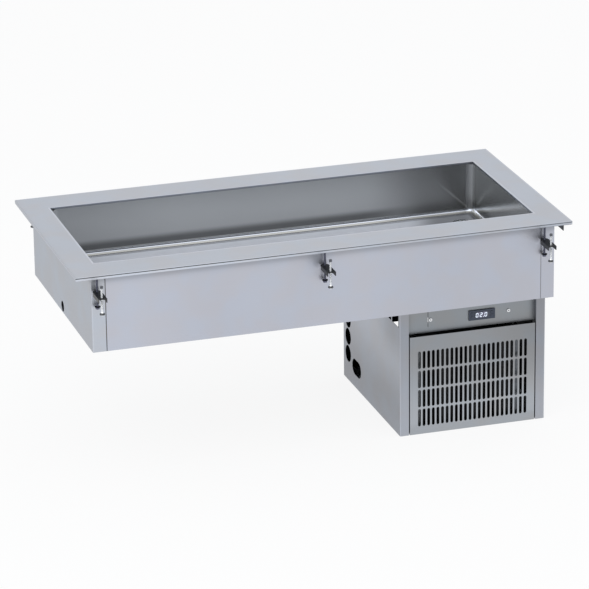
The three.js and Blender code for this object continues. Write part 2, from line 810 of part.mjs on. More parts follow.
// Cable gland: body outside the back plate, thread through it and nut inside, with the cable's bore
function makeGland() {
  const z = housingBottom + glandFromBottom;
  const x = housingLeft + glandFromSide;
  const outside = backPlateOuter + gap;
  const inside = backPlateInner - gap;
  const flange = bar('y', z, x, glandRadius, outside, outside + glandFlange, hexSides);
  const dome = bar('y', z, x, glandThreadRadius, outside, outside + glandLength);
  const thread = bar('y', z, x, glandThreadRadius, inside - glandFlange, outside);
  const nut = bar('y', z, x, glandRadius, inside - glandFlange, inside, hexSides);
  const bore = bar('y', z, x, glandBoreRadius, inside - glandFlange - overrun, outside + glandLength + overrun);
  add('cable_gland', geometryOf(cut(join(flange, dome, thread, nut), bore)), blackPlastic);
}

// Control panel with the thermostat, its display, four keys and two screws
function makeControls() {
  const left = housingLeft + sheetGauge + gap;
  const right = housingRight - sheetGauge - gap;
  const back = controlFace + sheetGauge;
  const bezelLeft = housingLeft + bezelFromSide;
  const bezelBottom = housingBottom + bezelFromBottom;
  const bezelX = bezelLeft + bezelLength / 2;
  const bezelZ = bezelBottom + bezelHeight / 2;
  const bodyLeft = bezelX - thermostatLength / 2;
  const bodyRight = bezelX + thermostatLength / 2;
  const bodyBottom = bezelZ - thermostatHeight / 2;
  const bodyTop = bezelZ + thermostatHeight / 2;
  const screwZ = housingBottom + screwFromBottom;
  const screwPlaces = [housingLeft + firstScrewFromSide, housingLeft + secondScrewFromSide];
  const slotLeft = housingLeft + controlSlotFromSide;

  const panel = block(left, right, controlFace, back, controlBottom, housingTop - gap);
  const window = block(bodyLeft - gap, bodyRight + gap, controlFace - overrun, back + overrun,
    bodyBottom - gap, bodyTop + gap);
  const slot = block(slotLeft, slotLeft + controlSlotWidth, controlFace - overrun, back + overrun,
    housingTop - controlSlotHeight, housingTop);
  const screwHoles = screwPlaces.map((x) => bar('y', screwZ, x, screwRadius + gap, controlFace - overrun,
    back + overrun));
  add('control_panel', geometryOf(cut(panel, window, slot, ...screwHoles)), brushedSteel);

  const bezelBack = controlFace - gap;
  const bezelFront = bezelBack - bezelProud;
  const bezel = block(bezelLeft, bezelLeft + bezelLength, bezelFront, bezelBack, bezelBottom,
    bezelBottom + bezelHeight);
  const body = block(bodyLeft, bodyRight, bezelBack, bezelBack + thermostatDepth, bodyBottom, bodyTop);
  const displayPocket = block(bezelX - displayLength / 2 - gap, bezelX + displayLength / 2 + gap,
    bezelFront - overrun, bezelFront - displayProud + displayThickness + gap,
    bezelZ - displayHeight / 2 - gap, bezelZ + displayHeight / 2 + gap);
  const keyPlaces = [-1, 1].flatMap((sx) => [-1, 1].map((sz) => [
    bezelX + sx * (bezelLength / 2 - keyFromBezelEdge),
    bezelZ + (sz * keyRowSpacing) / 2,
  ]));
  const keyHalf = keySize / 2;
  const pockets = keyPlaces.map(([x, z]) => block(x - keyHalf - gap, x + keyHalf + gap,
    bezelFront - overrun, bezelFront + keyPocketDepth - keyProud, z - keyHalf - gap, z + keyHalf + gap));
  add('thermostat_body', geometryOf(cut(join(bezel, body), displayPocket, ...pockets)), bezelPlastic);

  const displayFront = bezelFront - displayProud;
  add('thermostat_display', geometryOf(block(bezelX - displayLength / 2, bezelX + displayLength / 2,
    displayFront, displayFront + displayThickness, bezelZ - displayHeight / 2, bezelZ + displayHeight / 2)),
  displayGlass);
  const keyFront = bezelFront - keyProud;
  keyPlaces.forEach(([x, z], i) => {
    add(`thermostat_key_${i + 1}`, geometryOf(block(x - keyHalf, x + keyHalf, keyFront, keyFront + keyThickness,
      z - keyHalf, z + keyHalf)), bezelPlastic);
  });

  screwPlaces.forEach((x, i) => {
    const head = bar('y', screwZ, x, screwHeadRadius, bezelBack - screwHeadHeight, bezelBack);
    const shank = bar('y', screwZ, x, screwRadius, bezelBack - screwHeadHeight, bezelBack + screwLength);
    add(`panel_screw_${i + 1}`, geometryOf(join(head, shank)), zincSteel);
  });
}

// Grille panel: a slotted face with a fold along each edge
function makeGrille() {
  const left = housingLeft + housingReturn + grilleGap;
  const right = housingRight - housingReturn - grilleGap;
  const top = housingBottom + grilleHeight;
  const middle = (left + right) / 2;
  const firstX = middle - ((slotColumns - 1) * slotColumnPitch) / 2;
  const rowPitch = (grilleHeight - slotsFromBottom - slotsFromTop + slotBridge) / slotRows;
  const slotLength = rowPitch - slotBridge;
  const firstZ = housingBottom + slotsFromBottom + slotLength / 2;
  const slots = Array.from({ length: slotColumns }, (_, i) => Array.from({ length: slotRows }, (__, k) =>
    slotOutline(firstZ + k * rowPitch, firstX + i * slotColumnPitch, slotLength, slotWidth, 'first'))).flat();
  const face = prism('y', [[housingBottom, left], [housingBottom, right], [top, right], [top, left]],
    housingFront, housingFront + sheetGauge, slots);
  const foldEnd = controlFace - gap;
  const frame = cut(
    block(left, right, housingFront, foldEnd, housingBottom, top),
    block(left + sheetGauge, right - sheetGauge, housingFront - overrun, foldEnd + overrun,
      housingBottom + sheetGauge, top + overrun),
  );
  add('grille_panel', geometryOf(join(face, frame)), brushedSteel);
}

// Condenser: a finned block between two end plates
function makeCondenser() {
  const inner0 = condenserLeft + condenserPlateGauge;
  const inner1 = condenserRight - condenserPlateGauge;
  const pitch = (inner1 - inner0) / finCount;
  const grooveWidth = pitch * (1 - finShare);
  const finPlan = [[inner0, condenserFront]];
  for (let i = 0; i < finCount; i += 1) {
    const start = inner0 + pitch * (i + finShare / 2);
    finPlan.push([start, condenserFront]);
    finPlan.push([start, condenserFront + finGrooveDepth]);
    finPlan.push([start + grooveWidth, condenserFront + finGrooveDepth]);
    finPlan.push([start + grooveWidth, condenserFront]);
  }
  finPlan.push([inner1, condenserFront], [inner1, condenserBack], [inner0, condenserBack]);
  const fins = prism('z', finPlan, condenserBottom + condenserPlateProud, condenserTop - condenserPlateProud);
  const plate = (x) => block(x, x + condenserPlateGauge, condenserFront, condenserBack + condenserPlateProud,
    condenserBottom, condenserTop);
  const joined = join(fins, plate(condenserLeft), plate(condenserRight - condenserPlateGauge));
  add('condenser', geometryOf(joined), aluminiumFin);
}

// Fan: a shroud box behind the condenser, the motor on its arms, and the blade on the motor's shaft
function makeFan() {
  const shell = block(condenserLeft, condenserRight, shroudFront, shroudBack, condenserBottom, condenserTop);
  const inside = block(condenserLeft + shroudGauge, condenserRight - shroudGauge, shroudFront - overrun,
    shroudBack - shroudGauge, condenserBottom + shroudGauge, condenserTop - shroudGauge);
  const hole = bar('y', fanZ, fanX, fanHoleRadius, shroudBack - shroudGauge - overrun, shroudBack + overrun,
    roundSides);
  add('fan_shroud', geometryOf(cut(shell, inside, hole)), galvanised);

  const armFront = shroudBack + gap;
  const half = motorArmWidth / 2;
  const bladeFront = condenserBack + fanBehindCondenser;
  const hubBack = bladeFront + fanHubHeight;
  const motor = join(
    bar('y', fanZ, fanX, motorRadius, armFront, armFront + motorLength, roundSides),
    bar('y', fanZ, fanX, motorShaftRadius, bladeFront + overrun, armFront + overrun),
    block(fanX - motorArmReach, fanX + motorArmReach, armFront, armFront + motorArmGauge, fanZ - half, fanZ + half),
    block(fanX - half, fanX + half, armFront, armFront + motorArmGauge, fanZ - motorArmReach, fanZ + motorArmReach),
  );
  add('fan_motor', geometryOf(motor), blackPaint);

  const blades = Array.from({ length: fanBladeCount }, (_, i) => {
    const span = fanRadius - fanHubRadius / 2;
    const geometry = new THREE.BoxGeometry(fanBladeChord, fanBladeGauge, span);
    geometry.rotateZ(fanBladePitch).translate(0, 0, fanHubRadius / 2 + span / 2);
    geometry.rotateY((Math.PI * 2 * i) / fanBladeCount);
    return solidOf(geometry.translate(fanX, bladeFront + fanHubHeight / 2, fanZ));
  });
  const rim = bar('y', fanZ, fanX, fanRadius, condenserBack, shroudBack, roundSides);
  const hub = bar('y', fanZ, fanX, fanHubRadius, bladeFront, hubBack, roundSides);
  const bore = bar('y', fanZ, fanX, motorShaftRadius + gap, bladeFront + overrun - gap, hubBack + overrun);
  add('fan_blade', geometryOf(cut(join(hub, ...blades).intersect(rim), bore)), blackPlastic);
}

// Compressor: a domed shell on a foot plate with four grommets, its relay box and discharge pipe
function makeCompressor() {
  const footTop = baseTop + gap + grommetHeight + compressorFootGauge;
  const shellTop = footTop + compressorHeight;
  const seamZ = footTop + compressorHeight / 2;
  const quarter = Math.PI / 2;
  const dome = (z, from, to) => arc(0, 0, 1, from, to, domeSteps).map(([c, s]) =>
    [compressorRadius * c, z + compressorDome * s]);
  const shell = turned([
    ...dome(footTop + compressorDome, -quarter, 0),
    [compressorRadius, seamZ - compressorSeam],
    [compressorRadius + compressorSeam, seamZ - compressorSeam],
    [compressorRadius + compressorSeam, seamZ + compressorSeam],
    [compressorRadius, seamZ + compressorSeam],
    ...dome(shellTop - compressorDome, 0, quarter),
  ], roundSides, compressorX, compressorY);
  const footX = compressorFootLength / 2;
  const footY = compressorFootWidth / 2;
  const foot = block(compressorX - footX, compressorX + footX, compressorY - footY, compressorY + footY,
    footTop - compressorFootGauge, footTop);
  const grommets = [-1, 1].flatMap((sx) => [-1, 1].map((sy) => bar('z',
    compressorX + sx * (footX - grommetRadius), compressorY + sy * (footY - grommetRadius), grommetRadius,
    baseTop + gap, footTop)));
  const collar = bar('z', compressorX, compressorY, compressorRadius / 2, footTop - compressorFootGauge,
    footTop + compressorDome, roundSides);
  add('compressor', geometryOf(join(shell, foot, collar, ...grommets)), blackPaint);

  const relayRight = compressorX - compressorRadius - compressorSeam - gap;
  add('compressor_relay', geometryOf(block(relayRight - relayLength, relayRight, compressorY - relayWidth / 2,
    compressorY + relayWidth / 2, baseTop + relayFromBase, baseTop + relayFromBase + relayHeight)), blackPlastic);

  const pipeZ = baseTop + dischargeFromBase;
  const shellFront = compressorY - compressorRadius - gap;
  const overZ = condenserTop + dischargeAboveCondenser;
  const condenserY = (condenserFront + condenserBack) / 2;
  const dropX = compressorX + dischargeStub;
  add('discharge_pipe', geometryOf(tubeAlong([
    [compressorX, shellFront, pipeZ],
    [compressorX, shellFront - dischargeStub / 2, pipeZ],
    [dropX, shellFront - dischargeStub, pipeZ],
    [dropX, shellFront - dischargeStub, overZ],
    [dropX, condenserY, overZ],
    [dropX, condenserY, condenserTop + gap],
  ], dischargeRadius, coilSides, coilBendRadius, coilBendSteps)), copper);
}

// One clamp: bolt under the rim, swinging channel bracket, thumbscrew and its pad
function makeClamp(name, x, side) {
  const boltY = side * (casingHalfY + clampStandOff);
  const screwY = boltY + side * bracketReach;
  const endY = screwY + side * bracketOverhang;
  const washerTop = -washerBelowSeat;
  const washerBottom = washerTop - washerHeight;
  const bolt = turned([
    [0, washerBottom],
    [washerRadius, washerBottom],
    [washerRadius, washerTop],
    [boltRadius, washerTop],
    [boltRadius, -gap],
    [0, -gap],
  ], smallSides, x, boltY);
  const head = bar('z', x, boltY, boltHeadRadius, washerBottom - boltHeadHeight, washerBottom + gap, hexSides);
  add(`${name}_bolt`, geometryOf(join(bolt, head)), darkSteel);

  const top = -bracketBelowSeat;
  const under = top - bracketGauge;
  const bottom = top - bracketHeight;
  const half = bracketWidth / 2;
  const turn = side > 0 ? Math.PI : 0;
  const outline = [
    ...arc(x, boltY, half, turn, turn + Math.PI, smallSides),
    [x + side * half, endY],
    [x - side * half, endY],
  ];
  const plate = prism('z', outline, under, top);
  const flange = (x0, x1) => block(x0, x1, Math.min(boltY, endY), Math.max(boltY, endY), bottom, top);
  const nut = bar('z', x, screwY, bracketNutRadius, under - bracketNutHeight, under, hexSides);
  const boltHole = bar('z', x, boltY, boltRadius + gap, bottom - overrun, top + overrun);
  const screwHole = bar('z', x, screwY, thumbScrewRadius + gap, bottom - overrun, top + overrun);
  const bracket = join(plate, flange(x - half, x - half + bracketGauge), flange(x + half - bracketGauge, x + half),
    nut);
  add(`${name}_bracket`, geometryOf(cut(bracket, boltHole, screwHole)), blackSteel);

  const lowered = side > 0 ? backScrewLowered : 0;
  const padTop = -padBelowSeat - lowered;
  const padBottom = padTop - padHeight;
  const socketTop = padBottom + padSocketDepth;
  add(`${name}_pad`, geometryOf(turned([
    [0, socketTop],
    [thumbScrewRadius + gap, socketTop],
    [thumbScrewRadius + gap, padBottom],
    [padRadius, padBottom],
    [padRadius, padTop],
    [0, padTop],
  ], smallSides, x, screwY)), blackPlastic);

  const screwBottom = -thumbScrewBelowSeat - lowered;
  const discBottom = screwBottom + thumbButtonHeight;
  const discTop = discBottom + thumbDiscHeight;
  add(`${name}_screw`, geometryOf(turned([
    [0, screwBottom],
    [thumbButtonRadius, screwBottom],
    [thumbButtonRadius, discBottom],
    [thumbDiscRadius, discBottom],
    [thumbDiscRadius, discTop],
    [thumbScrewRadius, discTop + thumbConeHeight],
    [thumbScrewRadius, socketTop - gap],
    [0, socketTop - gap],
  ], roundSides, x, screwY)), zincSteel);
}

function makeClamps() {
  const places = {
    left: clampFromLeftCorner - casingHalfX,
    middle: clampMiddleShift,
    right: casingHalfX - clampFromRightCorner,
  };
  Object.entries(places).forEach(([place, x]) => {
    makeClamp(`front_clamp_${place}`, x, -1);
    makeClamp(`back_clamp_${place}`, x, 1);
  });
}

// Small black angle bracket under the right end of the rim
function makeEndBracket() {
  const outer = casingHalfX + endBracketOutset;
  const inner = outer - endBracketFlange;
  const front = endBracketFromFront - rimHalfY;
  const outline = [
    [-gap, inner],
    [-gap, outer],
    [-endBracketHeight, outer],
    [-endBracketHeight, outer - endBracketGauge],
    [-gap - endBracketGauge, outer - endBracketGauge],
    [-gap - endBracketGauge, inner],
  ];
  add('end_bracket', geometryOf(prism('y', outline, front, front + endBracketLength)), blackSteel);
}

makeRim();
makeTub();
makeDrain();
makeCasing();
makeInsulation();
makeEvaporator();
makeHousing();
makeGland();
makeControls();
makeGrille();
makeCondenser();
makeFan();
makeCompressor();
makeClamps();
makeEndBracket();

export default model;
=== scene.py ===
"""Looks of the drop-in refrigerated well: camera, floor, lamps, finishes and small details.

Lengths are in metres in the part's own frame: z = 0 is the seat under the rim's lip.
"""

import json
import math

import bmesh
import bpy
from mathutils import Matrix, Vector


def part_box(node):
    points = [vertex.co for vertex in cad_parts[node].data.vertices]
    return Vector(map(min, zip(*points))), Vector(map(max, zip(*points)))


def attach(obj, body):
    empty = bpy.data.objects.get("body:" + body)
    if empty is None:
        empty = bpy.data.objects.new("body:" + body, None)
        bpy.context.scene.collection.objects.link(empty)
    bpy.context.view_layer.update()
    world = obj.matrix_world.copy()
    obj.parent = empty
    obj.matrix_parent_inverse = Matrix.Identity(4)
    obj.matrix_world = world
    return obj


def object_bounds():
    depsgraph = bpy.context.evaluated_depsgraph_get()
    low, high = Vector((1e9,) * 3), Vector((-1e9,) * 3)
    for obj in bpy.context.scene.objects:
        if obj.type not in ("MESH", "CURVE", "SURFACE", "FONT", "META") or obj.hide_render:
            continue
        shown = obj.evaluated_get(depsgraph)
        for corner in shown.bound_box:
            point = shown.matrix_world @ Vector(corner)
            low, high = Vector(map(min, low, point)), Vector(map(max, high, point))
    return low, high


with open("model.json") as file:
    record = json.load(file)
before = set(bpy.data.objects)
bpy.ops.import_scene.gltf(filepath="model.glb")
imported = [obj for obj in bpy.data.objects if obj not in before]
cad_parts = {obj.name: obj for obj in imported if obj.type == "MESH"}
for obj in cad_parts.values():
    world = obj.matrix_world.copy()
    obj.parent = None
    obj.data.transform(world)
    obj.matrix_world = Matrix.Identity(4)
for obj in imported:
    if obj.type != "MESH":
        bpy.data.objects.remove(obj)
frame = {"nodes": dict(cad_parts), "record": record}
nodes = frame["nodes"]
cad_low, cad_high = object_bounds()
slot_of = {row["node"]: row["material_slot"] for row in frame["record"]["subparts"]}


def centre(name):
    """Middle of a CAD node's box."""
    low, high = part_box(name)
    return (low + high) / 2


# The part's measures that the looks follow
RIM_HALF_X, RIM_HALF_Y, RIM_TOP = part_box("rim_frame")[1]
OPEN_HALF_X, OPEN_HALF_Y = 0.655, 0.255
TUB_FLOOR = -0.150
COVE = 0.016
FLAT_HALF_X, FLAT_HALF_Y = OPEN_HALF_X - COVE, OPEN_HALF_Y - COVE
DRAIN_X, DRAIN_Y = centre("drain_strainer").xy
CASING_LEFT, CASING_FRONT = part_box("left_end_panel")[0].xy
SEAM_X = (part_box("front_panel")[1].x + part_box("right_end_panel")[0].x) / 2
SEAM_HALF_WIDTH = 0.0010
HOUSE_LEFT, HOUSE_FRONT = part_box("housing_left_side")[0].xy
HOUSE_RIGHT, HOUSE_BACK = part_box("housing_right_side")[1].xy
CONTROL_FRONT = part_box("control_panel")[0].y
BACK_PLATE_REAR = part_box("housing_back")[1].y
OUTLET_LEFT, OUTLET_RIGHT, OUTLET_BOTTOM, OUTLET_TOP = 0.284, 0.619, -0.582, -0.453
CABLE_HOLE_Y, CABLE_HOLE_Z = 0.004, -0.2035
CLAMP_X = [centre(f"front_clamp_{side}_bracket").x for side in ("left", "middle", "right")]
CLAMP_SCREW_Y = centre("back_clamp_left_screw").y
CLAMP_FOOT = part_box("front_clamp_left_bracket")[0].z
NUT_REACH, NUT_HEIGHT = 0.0064, 0.010
BOLT_PITCH, BOLT_THREAD_FOOT, BOLT_WASHER = 0.00125, -0.0765, (-0.0834, -0.0808)
SCREW_PITCH, SCREW_THREAD_FOOT, SCREW_HEAD_SHADE_BAND = 0.0010, -0.0735, (-0.0881, -0.0820)
BACK_SCREWS_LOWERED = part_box("front_clamp_left_screw")[0].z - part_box("back_clamp_left_screw")[0].z
DISPLAY_LOW, DISPLAY_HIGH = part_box("thermostat_display")
DISPLAY_CENTRE = centre("thermostat_display")

# Camera
VIEW_AZIMUTH = math.radians(-17.18)
VIEW_ELEVATION = math.radians(20.05)
VIEW_ROLL = math.radians(-0.73)
VIEW_DISTANCE = 10.7844
VIEW_RIGHT = 0.0084
VIEW_UP = -0.2439
VIEW_TARGET_Z = 0.010
LENS = 227.15
SENSOR = 36.0
CLIP_START, CLIP_END = 0.1, 100


def make_camera():
    """Camera at the photograph's angle and distance."""
    cos_e = math.cos(VIEW_ELEVATION)
    back = Vector((math.sin(VIEW_AZIMUTH) * cos_e, -math.cos(VIEW_AZIMUTH) * cos_e,
                   math.sin(VIEW_ELEVATION)))
    level = (-back).cross(Vector((0, 0, 1))).normalized()
    upright = level.cross(-back)
    cos_r, sin_r = math.cos(VIEW_ROLL), math.sin(VIEW_ROLL)
    right = cos_r * level + sin_r * upright
    up = cos_r * upright - sin_r * level
    data = bpy.data.cameras.new("camera")
    data.lens = LENS
    data.sensor_width = SENSOR
    data.clip_start, data.clip_end = CLIP_START, CLIP_END
    camera = bpy.data.objects.new("camera", data)
    target = level * VIEW_RIGHT + upright * VIEW_UP + Vector((0, 0, VIEW_TARGET_Z))
    turn = Matrix((right, up, back)).transposed().to_4x4()
    camera.matrix_world = Matrix.Translation(back * VIEW_DISTANCE + target) @ turn
    bpy.context.collection.objects.link(camera)
    bpy.context.scene.camera = camera


# Node trees
class Graph:
    """Short calls for the nodes of one tree. A value is a socket or a plain number."""

    def __init__(self, tree):
        self.tree = tree

    def node(self, kind, **settings):
        made = self.tree.nodes.new(kind)
        for name, value in settings.items():
            setattr(made, name, value)
        return made

    def link(self, source, socket):
        if hasattr(source, "is_output"):
            self.tree.links.new(source, socket)
        else:
            socket.default_value = source

    def fill(self, made, *values):
        """Gives a node its first inputs, and returns its first output."""
        for socket, value in zip(made.inputs, values):
            self.link(value, socket)
        return made.outputs[0]

    def math(self, operation, *values):
        return self.fill(self.node("ShaderNodeMath", operation=operation), *values)

    def distance(self, value, at=0.0):
        """How far a value is from another."""
        return self.math("ABSOLUTE", self.math("SUBTRACT", value, at) if at else value)

    def both(self, *masks):
        made = masks[0]
        for mask in masks[1:]:
            made = self.math("MULTIPLY", made, mask)
        return made

    def either(self, *masks):
        made = masks[0]
        for mask in masks[1:]:
            made = self.math("MAXIMUM", made, mask)
        return made

    def remap(self, value, low, high, to_low=0.0, to_high=1.0, smooth=False):
        made = self.node("ShaderNodeMapRange", interpolation_type="SMOOTHSTEP" if smooth else "LINEAR")
        self.link(value, made.inputs["Value"])
        for name, number in zip(("From Min", "From Max", "To Min", "To Max"), (low, high, to_low, to_high)):
            self.link(number, made.inputs[name])
        return made.outputs["Result"]

    def seen_directly(self):
        """1 for rays of the camera and for mirrored and transmitted ones."""
        rays = self.node("ShaderNodeLightPath").outputs
        return self.either(*(rays[f"Is {kind} Ray"] for kind in ("Camera", "Glossy", "Transmission")))


class Finish(Graph):
    """A node material being built from its Principled surface."""

    def __init__(self, name):
        self.material = bpy.data.materials.new(name)
        self.material.use_nodes = True
        super().__init__(self.material.node_tree)
        self.surface = self.tree.nodes["Principled BSDF"]
        self.place = self.node("ShaderNodeTexCoord").outputs["Object"]
        split = self.node("ShaderNodeSeparateXYZ")
        self.link(self.place, split.inputs[0])
        self.x, self.y, self.z = split.outputs

    def set(self, **sockets):
        for name, value in sockets.items():
            self.link(value, self.surface.inputs[name.replace("_", " ")])

    def vector(self, x=0.0, y=0.0, z=0.0):
        return self.fill(self.node("ShaderNodeCombineXYZ"), x, y, z)

    def noise(self, scale=1.0, detail=2.0, roughness=0.5, where=None):
        made = self.node("ShaderNodeTexNoise")
        self.link(self.place if where is None else where, made.inputs["Vector"])
        for name, number in (("Scale", scale), ("Detail", detail), ("Roughness", roughness)):
            made.inputs[name].default_value = number
        return made.outputs["Fac"]

    def cells(self, feature, scale):
        made = self.node("ShaderNodeTexVoronoi", feature=feature)
        made.inputs["Scale"].default_value = scale
        self.link(self.place, made.inputs["Vector"])
        return made.outputs

    def grain(self, along, across):
        """Fine brushed streaks."""
        where = self.vector(self.math("MULTIPLY", along, STREAKS_ALONG),
                            self.math("MULTIPLY", across, STREAKS_ACROSS))
        return self.noise(detail=3.0, roughness=0.65, where=where)

    def spread(self, noise, low, high, reach=0.2, smooth=False):
        """A noise's middle range, of 0.5 minus and plus reach, as low to high."""
        return self.remap(noise, 0.5 - reach, 0.5 + reach, low, high, smooth)

    def mix(self, share, first, second, blend="MIX"):
        made = self.node("ShaderNodeMix", data_type="RGBA", blend_type=blend)
        self.link(share, made.inputs["Factor"])
        self.link(first, made.inputs[6])
        self.link(second, made.inputs[7])
        return made.outputs[2]

    def blend(self, share, first, second):
        """A number between two others."""
        made = self.node("ShaderNodeMix", data_type="FLOAT")
        self.link(share, made.inputs["Factor"])
        self.link(first, made.inputs[2])
        self.link(second, made.inputs[3])
        return made.outputs[0]

    def shaded(self, paint, shade):
        """A colour times a number."""
        return self.mix(1.0, paint, self.vector(shade, shade, shade), "MULTIPLY")

    def marked(self, shade, marks):
        """shade, times each mark's factor where its mask is 1, or all over if it has no mask."""
        for mask, factor in marks:
            share = factor if mask is None else self.remap(mask, 0, 1, 1.0, factor)
            shade = self.math("MULTIPLY", shade, share)
        return shade

    def bump(self, height, distance, strength=1.0):
        made = self.node("ShaderNodeBump")
        made.inputs["Distance"].default_value = distance
        made.inputs["Strength"].default_value = strength
        self.link(height, made.inputs["Height"])
        self.link(made.outputs["Normal"], self.surface.inputs["Normal"])

    def near(self, coordinate, at, half_width, softness=0.0006):
        """1 within half_width of a coordinate, falling to 0 over softness."""
        return self.remap(self.distance(coordinate, at), half_width, half_width + softness, 1.0, 0.0)

    def between(self, coordinate, low, high, softness=0.0003):
        """1 from low to high, falling to 0 over softness outside them."""
        return self.near(coordinate, (low + high) / 2, (high - low) / 2, softness)


def colour(*rgb):
    """An sRGB colour from 0 to 255 as a linear one."""
    def linear(v):
        v /= 255
        return v / 12.92 if v <= 0.04045 else ((v + 0.055) / 1.055) ** 2.4

    return tuple(linear(v) for v in rgb) + (1.0,)


def moved(tint, *by):
    return colour(*(v + d for v, d in zip(tint, by)))


# Finishes

# Noise cells to a metre along and across the streaks of the grain, and the depth of the streaks
STREAKS_ALONG = 7.0
STREAKS_ACROSS = 520.0
GRAIN_DEPTH = 0.00003
COOLER, WARMER = (-1.5, 0.5, 2.0), (1.0, 0.0, -1.5)
# Painted dark shade of a housing's inner faces, and their roughness
PAINTED_INSIDE_SHADE, UNLIT_ROUGH = (26, 27, 29), 0.7


def brushed(name, tint, rough, grain="level", mottle=0.02, marks=None, inside=None):
    """Satin sheet steel: fine grain along one direction and soft broad clouds, a little cooler and warmer.

    grain is level (horizontal on upright faces) or x. marks gives the dark seams, painted shades and painted
    highlights of this sheet, each as a mask with its factor. inside is a mask of a housing's inner faces,
    painted a dull, dark shade as if unlit.
    """
    finish = Finish(name)
    if grain == "level":
        streaks = finish.grain(finish.math("ADD", finish.x, finish.y), finish.z)
    else:
        streaks = finish.grain(finish.x, finish.y)
    broad = finish.noise(scale=2.6, detail=3.0)
    patch = finish.noise(scale=11.0, detail=2.0)
    shade = finish.math("MULTIPLY", finish.spread(streaks, 0.985, 1.015, 0.25),
                        finish.spread(broad, 1.0 - mottle, 1.0 + mottle))
    shade = finish.marked(shade, marks(finish) if marks else ())
    patches = finish.spread(patch, 0.0, 1.0, 0.15, smooth=True)
    base = finish.shaded(finish.mix(patches, moved(tint, *COOLER), moved(tint, *WARMER)), shade)
    gloss = finish.math("ADD", finish.spread(streaks, rough - 0.03, rough + 0.03, 0.3),
                        finish.spread(patch, -0.02, 0.02))
    if inside:
        unlit = inside(finish)
        base = finish.mix(unlit, base, colour(*PAINTED_INSIDE_SHADE))
        gloss = finish.blend(unlit, gloss, UNLIT_ROUGH)
    finish.set(Base_Color=base, Metallic=1.0, Anisotropic=0.25, Roughness=gloss)
    finish.bump(streaks, GRAIN_DEPTH, 0.4)
    return finish.material


# Heights above the tub's floor, as where a mask begins and where it is full
FLOOR_SKIN = (0.0011, 0.0007)
FOOT_BAND_BOTTOM, FOOT_BAND_TOP = (0.0155, 0.0175), (0.050, 0.027)
WALL_SHADE = (0.140, 0.030)
GLEAM_LOW, GLEAM_HIGH, GLEAM_SOFTNESS = 0.0070, 0.0125, 0.0015
# Colour of the painted highlight along the cove
GLEAM_TINT = (190, 196, 208)
# Places along x, as where a mask begins and where it is full
DULLER_WALLS = (0.33, 0.50)
DULLER_BY = 0.09
FOOT_BAND_FADE = (0.30, 0.50)
FOOT_BAND_LEAST, FOOT_BAND_AT_END = 0.15, 0.70
DRAIN_END = (0.30, 0.52)
FAR_END = (-0.22, -0.62)
END_WALL = (OPEN_HALF_X - 0.007, OPEN_HALF_X - 0.003)
# The glint's run along x, its rise in a metre, and how far beside its line it begins and is full
GLINT_LENGTH, GLINT_SLOPE, GLINT_BESIDE = 0.110, 0.93, (0.0075, 0.0010)
BACK_WALL = (OPEN_HALF_Y - 0.0015, OPEN_HALF_Y - 0.0005)
CORNER_START, CORNER_FULL = -0.004, 0.002
# How far inside the floor's edge its painted shade line begins and is full, and how far from the drain its
# painted shade
FLOOR_EDGE_SHADE = (0.007, 0.003)
DRAIN_SHADE = (0.165, 0.070)


def tub_finish(name, wall_tint, floor_tint):
    """Pressed tub: bright walls that mirror each other, and a satin floor tinted lighter than the walls as
    painted light, with painted shades and highlights from tub_marks.
    """
    finish = Finish(name)
    height = finish.math("SUBTRACT", finish.z, TUB_FLOOR)
    floor = finish.remap(height, *FLOOR_SKIN)
    gleam = finish.between(height, GLEAM_LOW, GLEAM_HIGH, GLEAM_SOFTNESS)
    streaks = finish.grain(finish.blend(floor, finish.math("ADD", finish.x, finish.y), finish.x),
                           finish.blend(floor, finish.z, finish.y))
    broad = finish.noise(scale=3.1, detail=3.0)
    shade = finish.math("MULTIPLY", finish.spread(streaks, 0.985, 1.015, 0.25),
                        finish.spread(broad, 0.985, 1.015))
    shade = finish.marked(shade, tub_marks(finish, height, floor, gleam))
    tint = finish.mix(floor, colour(*wall_tint), colour(*floor_tint))
    tint = finish.mix(gleam, tint, colour(*GLEAM_TINT))
    duller = finish.remap(finish.x, *DULLER_WALLS, 0.0, DULLER_BY, smooth=True)
    wall_gloss = finish.math("ADD", finish.spread(streaks, 0.08, 0.12, 0.3), duller)
    floor_gloss = finish.spread(streaks, 0.40, 0.48, 0.3)
    finish.set(Base_Color=finish.shaded(tint, shade), Metallic=finish.remap(floor, 0, 1, 1.0, 0.30),
               Roughness=finish.blend(floor, wall_gloss, floor_gloss))
    finish.bump(streaks, GRAIN_DEPTH, 0.3)
    return finish.material


